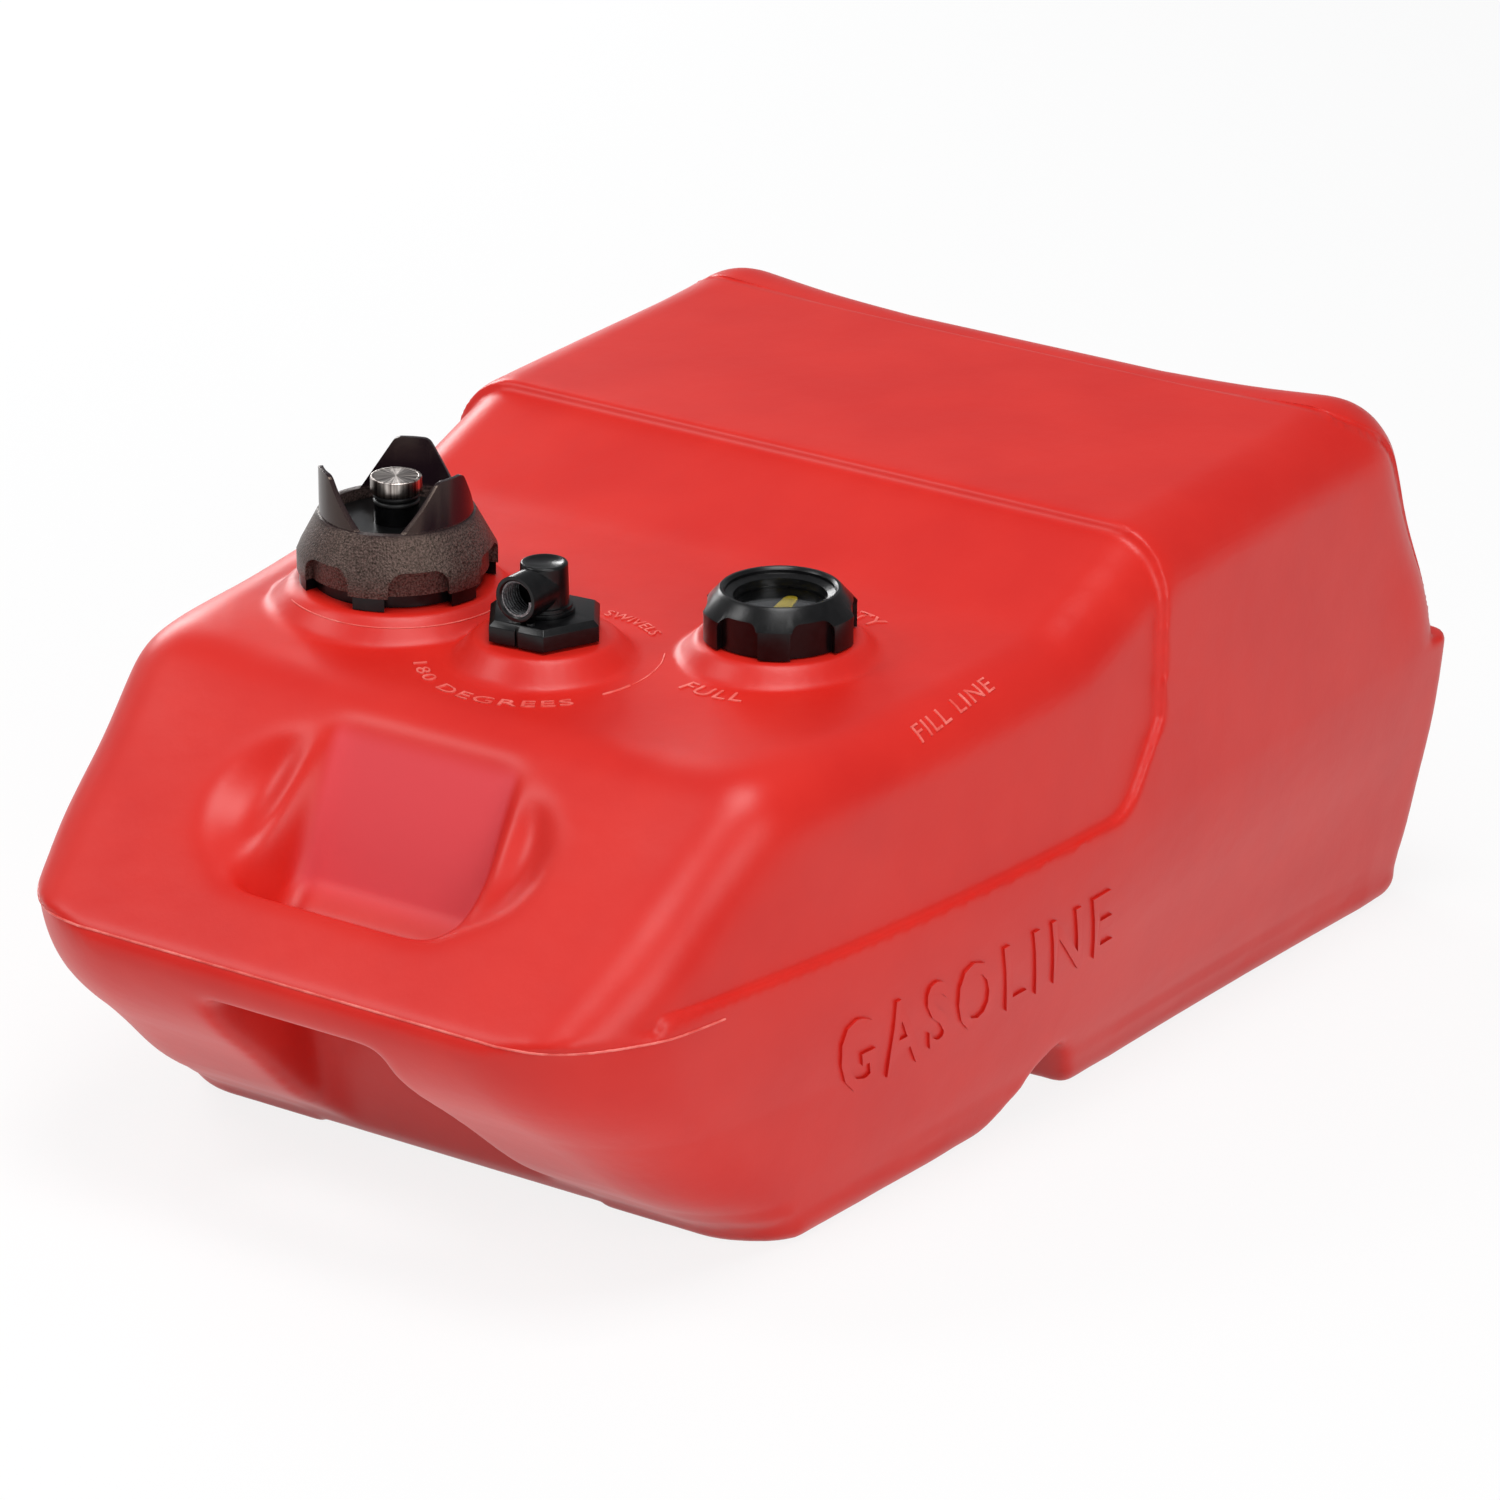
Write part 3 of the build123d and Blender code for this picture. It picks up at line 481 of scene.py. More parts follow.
# %% Fine lines round the fittings
def arc_line(name, axis, radius, first, last, thickness):
    """A thin raised line on a circle round a fitting, between two directions in degrees."""
    bpy.ops.mesh.primitive_circle_add(vertices=240, radius=radius,
                                      location=(*axis, above_all))
    line = named(name)
    settle(line)
    places = points_of(line)
    turn = np.degrees(np.arctan2(places[:, 1] - axis[1], places[:, 0] - axis[0]))
    outside = (turn - first) % 360 > last - first
    bpy.context.tool_settings.mesh_select_mode = (True, False, False)
    bpy.ops.object.mode_set(mode="EDIT")
    bpy.ops.mesh.select_all(action="DESELECT")
    leave_edit()
    line.data.vertices.foreach_set("select", outside)
    bpy.ops.object.mode_set(mode="EDIT")
    bpy.ops.mesh.delete(type="VERT")
    leave_edit()
    lie_on(line)
    return thread_from(line, name, thickness)


outlet_ring, fill_ring = 44.5 * mm, 43.2 * mm  # radii
fine_line, thick_line = 0.55 * mm, 1.1 * mm
moulded += [
    arc_line("outlet_ring_line", outlet_axis, outlet_ring, -8, 34, fine_line),
    arc_line("outlet_ring_mark", outlet_axis, outlet_ring, -27, -8, thick_line),
    arc_line("fill_ring_line", fill_axis, fill_ring, -120, 5, fine_line),
]


# %% Words
capital_share = 0.72  # a capital's height as a share of the font's size
low_relief = 0.45 * mm


def flat_word(name, words, height, spacing, bold=0.0):
    """Words as a flat mesh in the ground plane, their baseline starting at the origin."""
    bpy.ops.object.text_add()
    word = named(name)
    word.data.body = words
    word.data.size = height / capital_share
    word.data.space_character = spacing
    word.data.offset = bold
    word.data.resolution_u = 3
    bpy.ops.object.convert(target="MESH")
    word = named(name)
    edit_all(word)
    bpy.ops.mesh.remove_doubles(threshold=0.01 * mm)
    bpy.ops.mesh.quads_convert_to_tris()
    bpy.ops.mesh.subdivide(number_cuts=2)
    leave_edit()
    return word


def raise_word(word, height):
    """Give a word that lies on the skin its thickness, outwards."""
    apply(word, "SOLIDIFY", thickness=height, offset=1.0, use_rim=True)
    smooth_below(word, 30)
    return word


def along(places):
    """How far along its word each point lies, from 0 at the start to 1 at the end."""
    return (places[:, 0] - places[:, 0].min()) / np.ptp(places[:, 0])


def curved_word(name, words, axis, radius, first, last, height, tops_inward=True):
    """Words bent round a fitting: readable from the front on its near or its far side."""
    word = flat_word(name, words, height, spacing=1.1)
    places = points_of(word)
    run = along(places)
    turn = np.radians(first + (last - first) * run)
    reach = radius - places[:, 1] if tops_inward else radius + places[:, 1]
    place_points(word, np.column_stack([axis[0] + reach * np.cos(turn),
                                        axis[1] + reach * np.sin(turn),
                                        np.full(len(run), above_all)]))
    lie_on(word)
    return raise_word(word, low_relief)


moulded += [
    curved_word("words_180_degrees", "180 DEGREES", outlet_axis, 49 * mm, -139, -41, 5.4 * mm),
    curved_word("word_swivels", "SWIVELS", outlet_axis, 42 * mm, 95, 57, 5 * mm, False),
    curved_word("word_full", "FULL", gauge_axis, 50 * mm, -104, -72, 8 * mm),
    curved_word("word_empty", "EMPTY", gauge_axis, 39.5 * mm, 112, 66, 8 * mm, False),
]
print("words on the deck:", [piece.name for piece in moulded[-4:]])


# %% The fuel's name on the right side
# It runs along +Y and leans; rearwards it climbs and its letters shrink a little.
beside_tank = 200 * mm
fuel_start, fuel_length, fuel_lean = -134 * mm, 159.5 * mm, 0.38
fuel_name = flat_word("word_gasoline", "GASOLINE", 34 * mm, spacing=1.3, bold=0.8 * mm)
places = points_of(fuel_name)
run = along(places)
baseline = (54.5 + 8 * run) * mm
upward = places[:, 1] * (1 - 0.14 * run)
place_points(fuel_name, np.column_stack(
    [np.full(len(run), beside_tank), fuel_start + run * fuel_length - fuel_lean * upward,
     baseline + upward]))
lie_on(fuel_name, axis="X")
moulded.append(raise_word(fuel_name, 1.0 * mm))

# %% The fill line on the shoulder
mark_x, mark_start, mark_length = 153 * mm, -88 * mm, 48 * mm
fill_mark = flat_word("words_fill_line", "FILL LINE", 5.8 * mm, spacing=1.15)
places = points_of(fill_mark)
run = along(places) * mark_length
place_points(fill_mark, np.column_stack(
    [mark_x - places[:, 1], mark_start + run, np.full(len(run), above_all)]))
lie_on(fill_mark)
moulded.append(raise_word(fill_mark, low_relief))
for piece in moulded[1:]:
    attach(piece, "tank")
bpy.data.objects.remove(dense)
print("marks on the side and shoulder:", [piece.name for piece in moulded[-2:]])

# %% [markdown]
# ## The two threaded necks
# Under the fill cap and under the gauge's ring the body ends in a short neck with a coarse
# thread. A neck is a plain cylinder whose top is inset and pushed down to make its bore; the
# thread is one small triangle that the Screw modifier sweeps round.


# %% A neck and a helix
def helix(name, place, axis, radius, pitch, turns, ridge):
    """A thread's crest: one small triangle swept round an axis through the place."""
    bpy.ops.mesh.primitive_circle_add(vertices=3, radius=ridge, location=place)
    crest = named(name)
    edit_all(crest)
    if axis == "Z":
        bpy.ops.transform.rotate(value=math.radians(90), orient_axis="X",
                                 center_override=place)
    bpy.ops.transform.translate(value=(radius, 0, 0))
    leave_edit()
    steps = int(40 * turns)
    apply(crest, "SCREW", axis=axis, angle=turns * 2 * math.pi, screw_offset=pitch * turns,
          steps=steps, render_steps=steps, use_merge_vertices=False)
    edit_all(crest)
    bpy.ops.mesh.fill_holes(sides=3)
    bpy.ops.mesh.select_all(action="SELECT")
    bpy.ops.mesh.normals_make_consistent(inside=False)
    leave_edit()
    settle(crest)
    smooth_below(crest, 50)
    return crest


def neck(name, axis, outer, inner, height, pitch, turns):
    """A threaded neck of the tank, standing on the boss round this axis."""
    bpy.ops.mesh.primitive_cylinder_add(vertices=96, radius=outer, depth=height + 2 * mm,
                                        location=(*axis, seat_z + height / 2 - 1 * mm))
    tube = named(name)
    settle(tube)
    for side in (1, -1):
        pick_faces(tube, lambda centres, normals: normals[:, 2] * side > 0.9)
        bpy.ops.mesh.inset(thickness=outer - inner)
        if side > 0:
            bpy.ops.mesh.extrude_region_move(
                TRANSFORM_OT_translate={"value": (0, 0, -height - 1.5 * mm)})
        leave_edit()
    apply(tube, "BEVEL", width=0.5 * mm, segments=2, limit_method="ANGLE",
          angle_limit=math.radians(60))
    crest = helix(name + "_thread", (*axis, seat_z + 2.2 * mm), "Z", outer - 0.2 * mm,
                  pitch, turns, 0.45 * mm)
    choose(crest, tube)
    bpy.ops.object.join()
    smooth_below(tube, 40)
    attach(tube, "tank")
    moulded.append(tube)
    print(name, len(tube.data.polygons), "faces")


neck("fill_neck", fill_axis, 29.0 * mm, 25.5 * mm, 18.9 * mm, 6 * mm, 2.2)
neck("gauge_neck", gauge_axis, 22.0 * mm, 18.7 * mm, 7.9 * mm, 3 * mm, 1.4)

# %% [markdown]
# ## The vented fill cap
# The cap's outer shell is one moulding: six grip lobes, a cone and three upright guards that
# keep the vent knob from being knocked. Its shape comes whole from the CAD node; what the node
# lacks is the small radius that every moulded edge has and that catches the light. The copy is
# cleaned to whole faces, so that the bevel runs round each form without a break.

# %% Round the cap shell's edges
cap_shell = copy_node("fill_cap_shell", "fill_cap_cover")
soften(cap_shell, 0.55 * mm)
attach(cap_shell, "fill_cap")
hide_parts("fill_cap_shell")
print("cap cover:", len(cap_shell.data.polygons), "faces")

# %% [markdown]
# ## The vent knob and the seals under it
# The knob is a turned steel button: a plain cylinder with a broken edge and a faced top. Under
# it sit two rubber rings on a thin core. A turned part begins as a cylinder; the facing is an
# inset that is pushed down a little. A ring is a torus.

# %% Turn the knob
low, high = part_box("vent_knob")
knob_radius, knob_height = (high.x - low.x) / 2, high.z - low.z
bpy.ops.mesh.primitive_cylinder_add(vertices=128, radius=knob_radius, depth=knob_height,
                                    location=(*fill_axis, (low.z + high.z) / 2))
knob = named("vent_knob_turned")
settle(knob)
apply(knob, "BEVEL", width=0.6 * mm, segments=3, limit_method="ANGLE",
      angle_limit=math.radians(60))
pick_faces(knob, lambda centres, normals: normals[:, 2] > 0.99)
bpy.ops.mesh.inset(thickness=0.5 * mm)
bpy.ops.mesh.inset(thickness=0.3 * mm, depth=-0.18 * mm)
bpy.ops.mesh.inset(thickness=2.5 * mm)
bpy.ops.mesh.inset(thickness=3.0 * mm)
leave_edit()
smooth_below(knob, 28)
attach(knob, "vent_screw")
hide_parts("vent_knob")
print("knob radius", round(knob_radius / mm, 2), "mm")

# %% Stack the seals
low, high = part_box("vent_seal")
seal_radius, seal_height = (high.x - low.x) / 2, high.z - low.z
ring_section = 1.05 * mm  # radius
bpy.ops.mesh.primitive_cylinder_add(vertices=96, radius=seal_radius - 1.5 * mm,
                                    depth=seal_height,
                                    location=(*fill_axis, (low.z + high.z) / 2))
seal = named("vent_seal_rings")
settle(seal)
apply(seal, "BEVEL", width=0.2 * mm, segments=2, limit_method="ANGLE",
      angle_limit=math.radians(60))
rings = []
for share in (0.24, 0.76):
    bpy.ops.mesh.primitive_torus_add(major_segments=96, minor_segments=16,
                                     major_radius=seal_radius - ring_section,
                                     minor_radius=ring_section,
                                     location=(*fill_axis, low.z + share * seal_height))
    ring = named("seal_ring")
    settle(ring)
    rings.append(ring)
choose(*rings, seal)
bpy.ops.object.join()
smooth_below(seal, 40)
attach(seal, "vent_seat")
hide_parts("vent_seal")
print("seal stack:", len(seal.data.polygons), "faces")

# %% [markdown]
# ## The outlet: hexagon and swivel elbow
# Both are black glass-filled nylon. The hexagon takes a spanner; the elbow turns in it and has
# a pipe thread in its mouth. The CAD copies get their moulded radii, the tower's top gets its
# shallow dish, and a helix of sharp crests is laid in the plain bore, because the thread's
# bright crests are what the eye finds first in the mouth.

# %% Hexagon and elbow
hexagon = copy_node("outlet_hex_base", "outlet_hexagon")
soften(hexagon, 0.7 * mm, segments=4)
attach(hexagon, "tank")
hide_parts("outlet_hex_base")

elbow = copy_node("outlet_elbow", "outlet_elbow_body")
low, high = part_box("outlet_elbow")
soften(elbow, 0.35 * mm)
pick_faces(elbow, lambda centres, normals: (normals[:, 2] > 0.999)
           & (centres[:, 2] > high.z - 0.01 * mm))
bpy.ops.mesh.inset(thickness=0.9 * mm)
bpy.ops.mesh.inset(thickness=0.5 * mm, depth=-0.45 * mm)
leave_edit()
bore_z = seat_z + 19 * mm
crest_radius, pipe_pitch, thread_turns, crest_height = 6.8 * mm, 1.411 * mm, 8, 0.7 * mm
crests = helix("outlet_thread", (outlet_axis[0], low.y + 0.5 * mm, bore_z), "Y",
               crest_radius, pipe_pitch, thread_turns, crest_height)
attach(crests, "elbow")
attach(elbow, "elbow")
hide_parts("outlet_elbow")
print("hexagon:", len(hexagon.data.polygons), "faces; elbow:", len(elbow.data.polygons))

# %% [markdown]
# ## The gauge's ring and pointer
# The ring nut holds the window down. Its arched grips and its rim are edged with a thin line
# of light, which again is only a small radius. The pointer is a bright yellow moulding.

# %% Gauge ring and pointer
gauge_nut = copy_node("gauge_ring", "gauge_ring_nut")
soften(gauge_nut, 0.4 * mm)
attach(gauge_nut, "gauge_nut")
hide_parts("gauge_ring")

pointer = copy_node("gauge_pointer", "gauge_pointer_moulded")
soften(pointer, 0.25 * mm, segments=2, angle=50)
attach(pointer, "pointer_spindle")
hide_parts("gauge_pointer")
print("gauge ring:", len(gauge_nut.data.polygons), "faces")

# %% [markdown]
# ## Finishes
# Each finish starts from the real material and how its surface was made. Colours are written
# as sRGB hex and turned to linear once. One small function adds a shader node with its
# settings and links; pattern scales are one over a real size in metres.


# %% Tools for finishes
def place_on(tree):
    """Each shaded point's place on its own piece, in metres."""
    return node(tree, "ShaderNodeTexCoord").outputs["Object"]


def colour(text):
    """An sRGB hex colour as linear red, green, blue and one for alpha."""
    parts = [int(text[i:i + 2], 16) / 255 for i in (0, 2, 4)]
    return (*[c / 12.92 if c <= 0.04045 else ((c + 0.055) / 1.055) ** 2.4 for c in parts], 1.0)


def node(tree, kind, settings=(), links=()):
    """Add a node; settings name a property or an input, links name an input and its source."""
    made = tree.nodes.new(kind)
    for key, value in dict(settings).items():
        if isinstance(key, str) and hasattr(made, key):
            setattr(made, key, value)
        else:
            made.inputs[key].default_value = value
    for key, source in dict(links).items():
        tree.links.new(source, made.inputs[key])
    return made


def finish(name):
    """An empty material with its output node: returns the material and its node tree."""
    made = bpy.data.materials.new(name)
    made.use_nodes = True
    made.node_tree.nodes.clear()
    return made, made.node_tree


def per_mm(size):
    """The scale of a pattern whose features are so many millimetres large."""
    return 1 / (size * mm)


def grain(tree, place, size, height, base=None):
    """A bump of fine noise: its feature size and its height, both in millimetres."""
    noise = node(tree, "ShaderNodeTexNoise", {"Scale": per_mm(size), "Detail": 3.0,
                                              "Roughness": 0.55}, {"Vector": place})
    links = {"Height": noise.outputs["Fac"]}
    if base:
        links["Normal"] = base.outputs["Normal"]
    return node(tree, "ShaderNodeBump", {"Strength": 1.0, "Distance": height * mm}, links), noise


def mottled(tree, place, size, first, second):
    """Two shades of a colour that drift into each other over so many millimetres."""
    noise = node(tree, "ShaderNodeTexNoise", {"Scale": per_mm(size), "Detail": 4.0},
                 {"Vector": place})
    ramp = node(tree, "ShaderNodeValToRGB", {}, {"Fac": noise.outputs["Fac"]})
    ramp.color_ramp.elements[0].position = 0.35
    ramp.color_ramp.elements[0].color = first
    ramp.color_ramp.elements[1].position = 0.65
    ramp.color_ramp.elements[1].color = second
    return ramp


def output(tree, shader):
    """Make this shader the material's surface."""
    node(tree, "ShaderNodeOutputMaterial", {}, {"Surface": shader.outputs[0]})


# %% [markdown]
# ### Blow-moulded polyethylene, red
# High-density polyethylene with a red pigment, its skin copied from a sandblasted mould. To
# the eye: a deep warm red with a broad soft highlight, a faint orange-peel grain, and a slight
# waviness that breaks long reflections. The back wall of the pocket was etched in the mould,
# so there it is paler, pinker and finely grained. IOR 1.54, fairly rough; the matt skin
# mirrors less than a polished one, so its specular level is below the usual half.

# %% Tank red
tank_red, tree = finish("blow_moulded_polyethylene_red")
place = place_on(tree)
shade = mottled(tree, place, 45, colour("D01D13"), colour("D62419"))


def times(tree, first, second):
    """The product of two values."""
    return node(tree, "ShaderNodeMath", {"operation": "MULTIPLY"},
                {0: first, 1: second}).outputs[0]


def within(tree, value, low, high, soft):
    """1 between two places along one axis, fading out over a soft edge."""
    rise = node(tree, "ShaderNodeMapRange", {"interpolation_type": "SMOOTHSTEP",
                1: low - soft, 2: low + soft}, {0: value})
    fall = node(tree, "ShaderNodeMapRange", {"interpolation_type": "SMOOTHSTEP",
                1: high - soft, 2: high + soft, 3: 1.0, 4: 0.0}, {0: value})
    return times(tree, rise.outputs[0], fall.outputs[0])


axes = node(tree, "ShaderNodeSeparateXYZ", {}, {"Vector": place})
in_width = within(tree, axes.outputs["X"], -41 * mm, 41 * mm, 3 * mm)
in_depth = within(tree, axes.outputs["Y"], -213 * mm, -182 * mm, 4 * mm)
in_height = within(tree, axes.outputs["Z"], 119 * mm, 174 * mm, 5 * mm)
etched = times(tree, times(tree, in_width, in_depth), in_height)
pinker = node(tree, "ShaderNodeMix", {"data_type": "RGBA", 7: colour("E0454B")},
              {0: etched, 6: shade.outputs["Color"]})
wave, _ = grain(tree, place, 38, 0.4)
peel, _ = grain(tree, place, 1.6, 0.03, wave)
fine, _ = grain(tree, place, 0.5, 0.012, peel)
rougher = node(tree, "ShaderNodeMapRange", {3: 0.4, 4: 0.55}, {0: etched})
body = node(tree, "ShaderNodeBsdfPrincipled", {"IOR": 1.54, "Specular IOR Level": 0.36},
            {"Base Color": pinker.outputs[2], "Normal": fine.outputs["Normal"],
             "Roughness": rougher.outputs[0]})
output(tree, body)

# %% [markdown]
# ### The same plastic, painted paler on the thin raised marks
# Thin raised lines and letters, and the trimmed parting line, are painted paler: a painted
# highlight for the light their thin tops catch. To the eye: the same red, but paler and drier.

# %% Red with painted highlight
painted_highlight_red, tree = finish("scuffed_polyethylene_red")
place = place_on(tree)
# Painted highlight: the pale reds stand in for the light on the thin raised marks and the seam.
shade = mottled(tree, place, 6, colour("E04A40"), colour("F07A70"))
fine, _ = grain(tree, place, 0.5, 0.02)
body = node(tree, "ShaderNodeBsdfPrincipled",
            {"Roughness": 0.45, "IOR": 1.54, "Specular IOR Level": 0.5},
            {"Base Color": shade.outputs["Color"], "Normal": fine.outputs["Normal"]})
output(tree, body)

# %% [markdown]
# ### Textured nylon, brown-black
# The cap's shell is filled nylon from a coarse spark-eroded mould; the guards round the knob
# are polished. To the eye: near black with a warm brown cast, and a sparkle of tiny facets
# where light falls on the body, but smooth dark plum on the guards. The facets are drawn at
# most of a millimetre, coarser than life, so that they still show. Part of their sparkle is
# painted: pale brown speckles in the colour, as painted glints, also where the cap is in shade.

# %% Cap brown-black
cap_brown, tree = finish("spark_textured_nylon_brown_black")
place = place_on(tree)
height = node(tree, "ShaderNodeSeparateXYZ", {}, {"Vector": place}).outputs["Z"]
guard_foot, blend = seat_z + 27.6 * mm, 1.5 * mm
polished = node(tree, "ShaderNodeMapRange", {1: guard_foot - blend, 2: guard_foot + blend},
                {0: height})
# Painted glints: the pale brown speckles stand in for lit facets; the near black is the cap's
# own.
shade = mottled(tree, place, 0.75, colour("0B0708"), colour("5E4D49"))
plum = node(tree, "ShaderNodeMix", {"data_type": "RGBA", 7: colour("1D1118")},
            {0: polished.outputs[0], 6: shade.outputs["Color"]})
facets = node(tree, "ShaderNodeTexNoise", {"Scale": per_mm(0.8), "Detail": 2.0},
              {"Vector": place})
deep = node(tree, "ShaderNodeMapRange", {3: 0.9, 4: 0.04}, {0: polished.outputs[0]})
bumps = node(tree, "ShaderNodeBump", {"Distance": 0.42 * mm},
             {"Height": facets.outputs["Fac"], "Strength": deep.outputs[0]})
sheen = node(tree, "ShaderNodeMapRange", {3: 0.4, 4: 0.24}, {0: polished.outputs[0]})
body = node(tree, "ShaderNodeBsdfPrincipled", {"IOR": 1.53, "Specular Tint": colour("FFE2CC")},
            {"Base Color": plum.outputs[2], "Normal": bumps.outputs["Normal"],
             "Roughness": sheen.outputs[0]})
output(tree, body)

# %% [markdown]
# ### Moulded nylon, satin black
# The hexagon, the elbow and the gauge's ring. To the eye: a neutral black with a clear but
# soft highlight along every edge, and a faint grain on the flats.

# %% Satin black
satin_black, tree = finish("moulded_nylon_satin_black")
place = place_on(tree)
shade = mottled(tree, place, 3.0, colour("080809"), colour("101011"))
fine, _ = grain(tree, place, 0.6, 0.025)
body = node(tree, "ShaderNodeBsdfPrincipled",
            {"Roughness": 0.28, "IOR": 1.53, "Specular IOR Level": 0.28},
            {"Base Color": shade.outputs["Color"], "Normal": fine.outputs["Normal"]})
output(tree, body)

# %% [markdown]
# ### The same nylon on the thread's crests
# The thread's crests are painted light grey, a painted highlight for the light they catch. To
# the eye: thin light-grey arcs in a black mouth.

# %% Black with painted highlight
painted_highlight_black, tree = finish("rubbed_nylon_black")
place = place_on(tree)
# Painted highlight: light greys on the crests, in place of the light they catch.
shade = mottled(tree, place, 0.8, colour("4A4A4C"), colour("8A8A8C"))
fine, _ = grain(tree, place, 0.4, 0.015)
body = node(tree, "ShaderNodeBsdfPrincipled", {"Roughness": 0.2, "IOR": 1.53},
            {"Base Color": shade.outputs["Color"], "Normal": fine.outputs["Normal"]})
output(tree, body)

# %% [markdown]
# ### Turned stainless steel
# The knob was faced on a lathe, which leaves fine rings, and such rings pull a highlight out
# into a bright fan from the centre to the edge. The rings run round the piece, so the tangent
# does too; the drawn rings are a third of a millimetre apart, coarser than life. The fan is
# also painted into the colour: light and dark rays round the centre, as painted highlight.

# %% Turned steel
turned_steel, tree = finish("turned_stainless_steel")
place = place_on(tree)
centred = node(tree, "ShaderNodeMapping",
               {"Location": (-fill_axis[0], -fill_axis[1], 0.0)}, {"Vector": place})
rings = node(tree, "ShaderNodeTexWave", {"wave_type": "RINGS", "rings_direction": "Z",
                                         "Scale": per_mm(0.33) / 20, "Distortion": 0.4},
             {"Vector": centred.outputs["Vector"]})
cut = node(tree, "ShaderNodeBump", {"Strength": 0.35, "Distance": 0.006 * mm},
           {"Height": rings.outputs["Fac"]})
round_cut = node(tree, "ShaderNodeTangent", {"direction_type": "RADIAL", "axis": "Z"})
turn = node(tree, "ShaderNodeTexGradient", {"gradient_type": "RADIAL"},
            {"Vector": centred.outputs["Vector"]})
# Painted highlight: light and dark rays round the knob's centre, painted into the steel's colour.
painted_fan_rays = node(tree, "ShaderNodeTexNoise",
            {"noise_dimensions": "1D", "Scale": 26.0, "Detail": 3.0, "Roughness": 0.6},
            {"W": turn.outputs["Fac"]})
shade = node(tree, "ShaderNodeValToRGB", {}, {"Fac": painted_fan_rays.outputs["Fac"]})
shade.color_ramp.elements[0].position = 0.36
shade.color_ramp.elements[0].color = colour("6E6460")
shade.color_ramp.elements[1].position = 0.66
shade.color_ramp.elements[1].color = colour("D8CFC8")
body = node(tree, "ShaderNodeBsdfPrincipled",
            {"Metallic": 1.0, "Roughness": 0.3, "Anisotropic": 0.8},
            {"Base Color": shade.outputs["Color"], "Normal": cut.outputs["Normal"],
             "Tangent": round_cut.outputs["Tangent"]})
output(tree, body)

# %% [markdown]
# ### Nitrile rubber, and the clear, yellow, pale and bright pieces
# Fuel seals are moulded nitrile rubber: black, matt, slightly dusty. The window is clear
# polycarbonate, the pointer bright acetal, the float and tube natural acetal, the rods and the
# twisted strip drawn aluminium with fine lines along their length.

# %% Rubber
rubber, tree = finish("moulded_nitrile_rubber")
place = place_on(tree)
shade = mottled(tree, place, 1.5, colour("101010"), colour("1A1A1A"))
fine, _ = grain(tree, place, 0.4, 0.03)
body = node(tree, "ShaderNodeBsdfPrincipled", {"Roughness": 0.5, "IOR": 1.52},
            {"Base Color": shade.outputs["Color"], "Normal": fine.outputs["Normal"]})
output(tree, body)

# %% Window
clear, tree = finish("clear_polycarbonate")
place = place_on(tree)
flow, _ = grain(tree, place, 6.0, 0.01)
body = node(tree, "ShaderNodeBsdfPrincipled",
            {"Base Color": colour("F4F7F8"), "Roughness": 0.03, "IOR": 1.585,
             "Specular IOR Level": 0.06, "Transmission Weight": 1.0},
            {"Normal": flow.outputs["Normal"]})
output(tree, body)

# %% Pointer
yellow, tree = finish("moulded_acetal_yellow")
place = place_on(tree)
shade = mottled(tree, place, 4.0, colour("F6D01C"), colour("FFDC2C"))
fine, _ = grain(tree, place, 0.8, 0.02)
body = node(tree, "ShaderNodeBsdfPrincipled", {"Roughness": 0.35, "IOR": 1.48},
            {"Base Color": shade.outputs["Color"], "Normal": fine.outputs["Normal"]})
output(tree, body)

# %% Natural acetal
natural, tree = finish("moulded_acetal_natural")
place = place_on(tree)
shade = mottled(tree, place, 8.0, colour("D9D3C4"), colour("E6E1D4"))
fine, _ = grain(tree, place, 0.8, 0.03)
body = node(tree, "ShaderNodeBsdfPrincipled", {"Roughness": 0.45, "IOR": 1.48},
            {"Base Color": shade.outputs["Color"], "Normal": fine.outputs["Normal"]})
output(tree, body)

# %% Drawn aluminium
aluminium, tree = finish("drawn_aluminium")
place = place_on(tree)
drawn = node(tree, "ShaderNodeMapping", {"Scale": (1.0, 1.0, 0.02)}, {"Vector": place})
lines, _ = grain(tree, drawn.outputs["Vector"], 0.4, 0.01)
shade = mottled(tree, drawn.outputs["Vector"], 0.8, colour("B4B6B8"), colour("C9CBCC"))
body = node(tree, "ShaderNodeBsdfPrincipled", {"Metallic": 1.0, "Roughness": 0.34},
            {"Base Color": shade.outputs["Color"], "Normal": lines.outputs["Normal"]})
output(tree, body)


# %% Give every piece and node its finish
def wear(piece, made):
    """Give the piece this material alone."""
    piece.data.materials.clear()
    piece.data.materials.append(made)


# The thin marks and the seam take the red with the painted highlight.
paler = ("ring", "mark", "seam", "degrees", "swivels", "full", "empty", "fill_line")
for piece in moulded:
    wear(piece, painted_highlight_red if any(word in piece.name for word in paler) else tank_red)
for piece, made in ((cap_shell, cap_brown), (knob, turned_steel), (seal, rubber),
                    (hexagon, satin_black), (elbow, satin_black), (gauge_nut, satin_black),
                    (pointer, yellow), (crests, painted_highlight_black)):
    wear(piece, made)

by_slot = {"tank_red": tank_red, "cap_brown_black": cap_brown, "black_plastic": satin_black,
           "knob_steel": turned_steel, "seal_rubber": rubber, "clear_window": clear,
           "pointer_yellow": yellow, "gauge_alloy": aluminium, "natural_plastic": natural}
for part in frame["record"]["subparts"]:
    shown = frame["nodes"][part["node"]]
    for slot in shown.material_slots:
        slot.material = by_slot[part["material_slot"]]
print("finishes:", sorted(made.name for made in by_slot.values()))

# %% [markdown]
# ## The studio
# A white floor, a pale sky and four soft lamps: a strong one overhead, a small one at the left
# front, a long low one at the left rear for the far edges, and a broad one at the right front
# for the side. The floor shows the tank's shadow only faintly, as in a catalogue: to the
# camera, in reflections and through the window it is mostly plain white, and to everything
# else it is a pale floor.

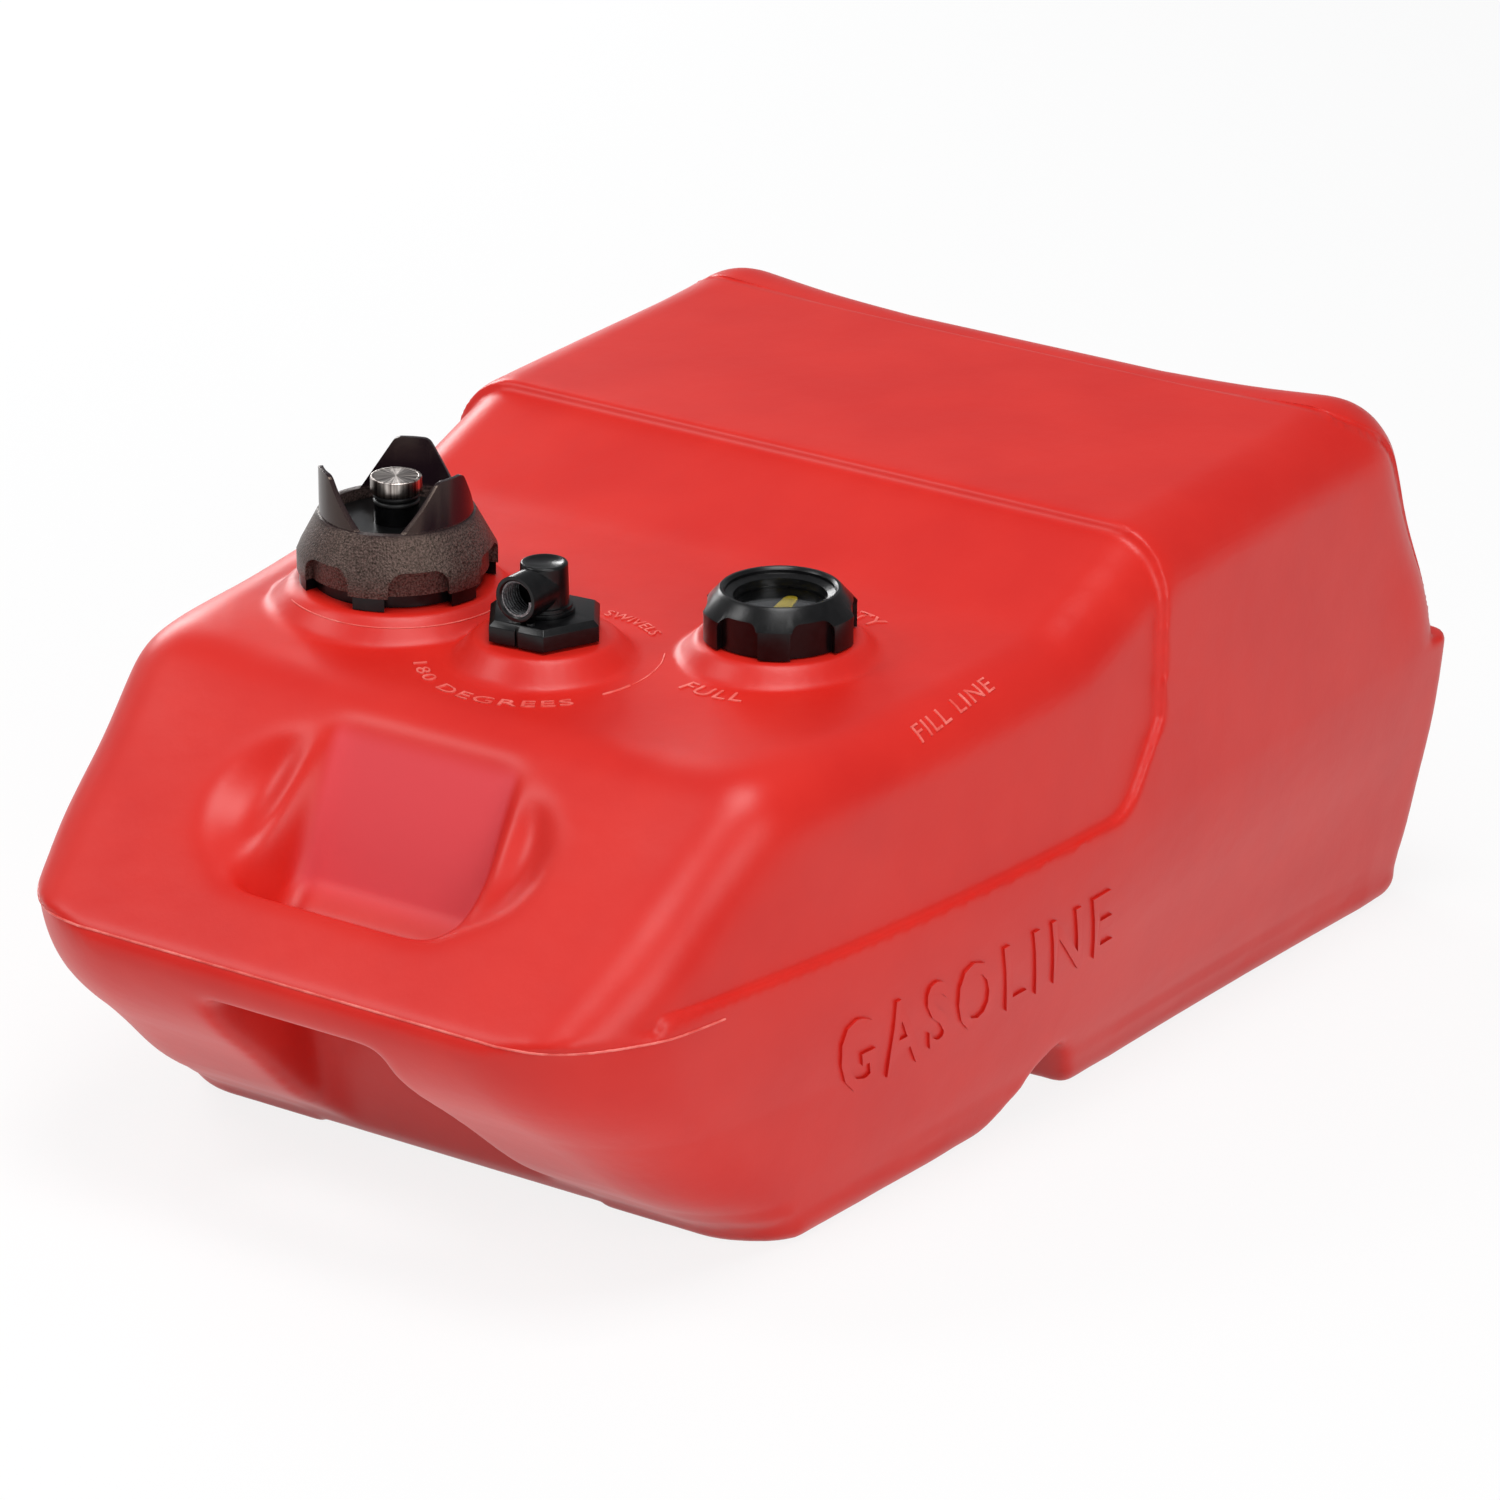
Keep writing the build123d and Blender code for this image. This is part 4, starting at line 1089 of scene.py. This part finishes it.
# %% Floor
bpy.ops.object.select_all(action="DESELECT")
bpy.ops.mesh.primitive_plane_add(size=60, location=(0, 0, 0))
floor = named("floor")
paper, tree = finish("white_paper")
seen = node(tree, "ShaderNodeLightPath")
mirrored = node(tree, "ShaderNodeMath", {"operation": "ADD"},
                {0: seen.outputs["Is Camera Ray"], 1: seen.outputs["Is Glossy Ray"]})
shown = node(tree, "ShaderNodeMath", {"operation": "ADD", "use_clamp": True},
             {0: mirrored.outputs[0], 1: seen.outputs["Is Transmission Ray"]})
part_bright = node(tree, "ShaderNodeMath", {"operation": "MULTIPLY", 1: 0.85},
                   {0: shown.outputs[0]})
matt = node(tree, "ShaderNodeBsdfDiffuse", {"Color": colour("F2F2F2")})
bright = node(tree, "ShaderNodeEmission", {"Color": colour("FFFFFF"), "Strength": 1.0})
both = node(tree, "ShaderNodeMixShader", {}, {0: part_bright.outputs[0],
                                              1: matt.outputs[0], 2: bright.outputs[0]})
output(tree, both)
wear(floor, paper)

# %% Sky
world = bpy.data.worlds.new("studio")
bpy.context.scene.world = world
world.use_nodes = True
tree = world.node_tree
tree.nodes.clear()
sky = node(tree, "ShaderNodeBackground", {"Color": colour("F4F6FA"), "Strength": 0.3})
node(tree, "ShaderNodeOutputWorld", {}, {"Surface": sky.outputs[0]})


# %% Lamps
def soft_light(name, place, aim, width, depth, power):
    """A rectangular area lamp that looks at its aim; sizes in metres, power in watts."""
    lamp = bpy.data.lights.new(name, "AREA")
    lamp.shape = "RECTANGLE"
    lamp.size, lamp.size_y, lamp.energy = width, depth, power
    made = bpy.data.objects.new(name, lamp)
    bpy.context.scene.collection.objects.link(made)
    made.location = place
    made.rotation_euler = (Vector(aim) - Vector(place)).to_track_quat("-Z", "Y").to_euler()


soft_light("overhead", (0.35, -0.35, 2.1), (0, 0, 0.1), 0.9, 0.9, 23)
soft_light("left_front", (-1.2, -1.1, 1.6), (0, 0, 0.1), 0.6, 0.6, 10)
soft_light("left_rear", (-1.8, 1.0, 0.8), (0, 0, 0.15), 1.0, 0.5, 17)
soft_light("right_front", (1.7, -0.9, 1.0), (0, 0, 0.1), 1.0, 1.0, 13.5)

# %% Camera
lens = bpy.data.cameras.new("camera")
lens.sensor_width, lens.lens = 36.0, 192.0  # mm: a long lens, so the lines hardly converge
lens.clip_end = 100.0
camera = bpy.data.objects.new("camera", lens)
bpy.context.scene.collection.objects.link(camera)
camera.location = (1.6519, -2.3378, 1.2578)
aim = Vector((-0.00217, 0.0244, 0.10435))
camera.rotation_euler = (aim - camera.location).to_track_quat("-Z", "Y").to_euler()
bpy.context.scene.camera = camera
bpy.context.scene.view_settings.view_transform = "Standard"
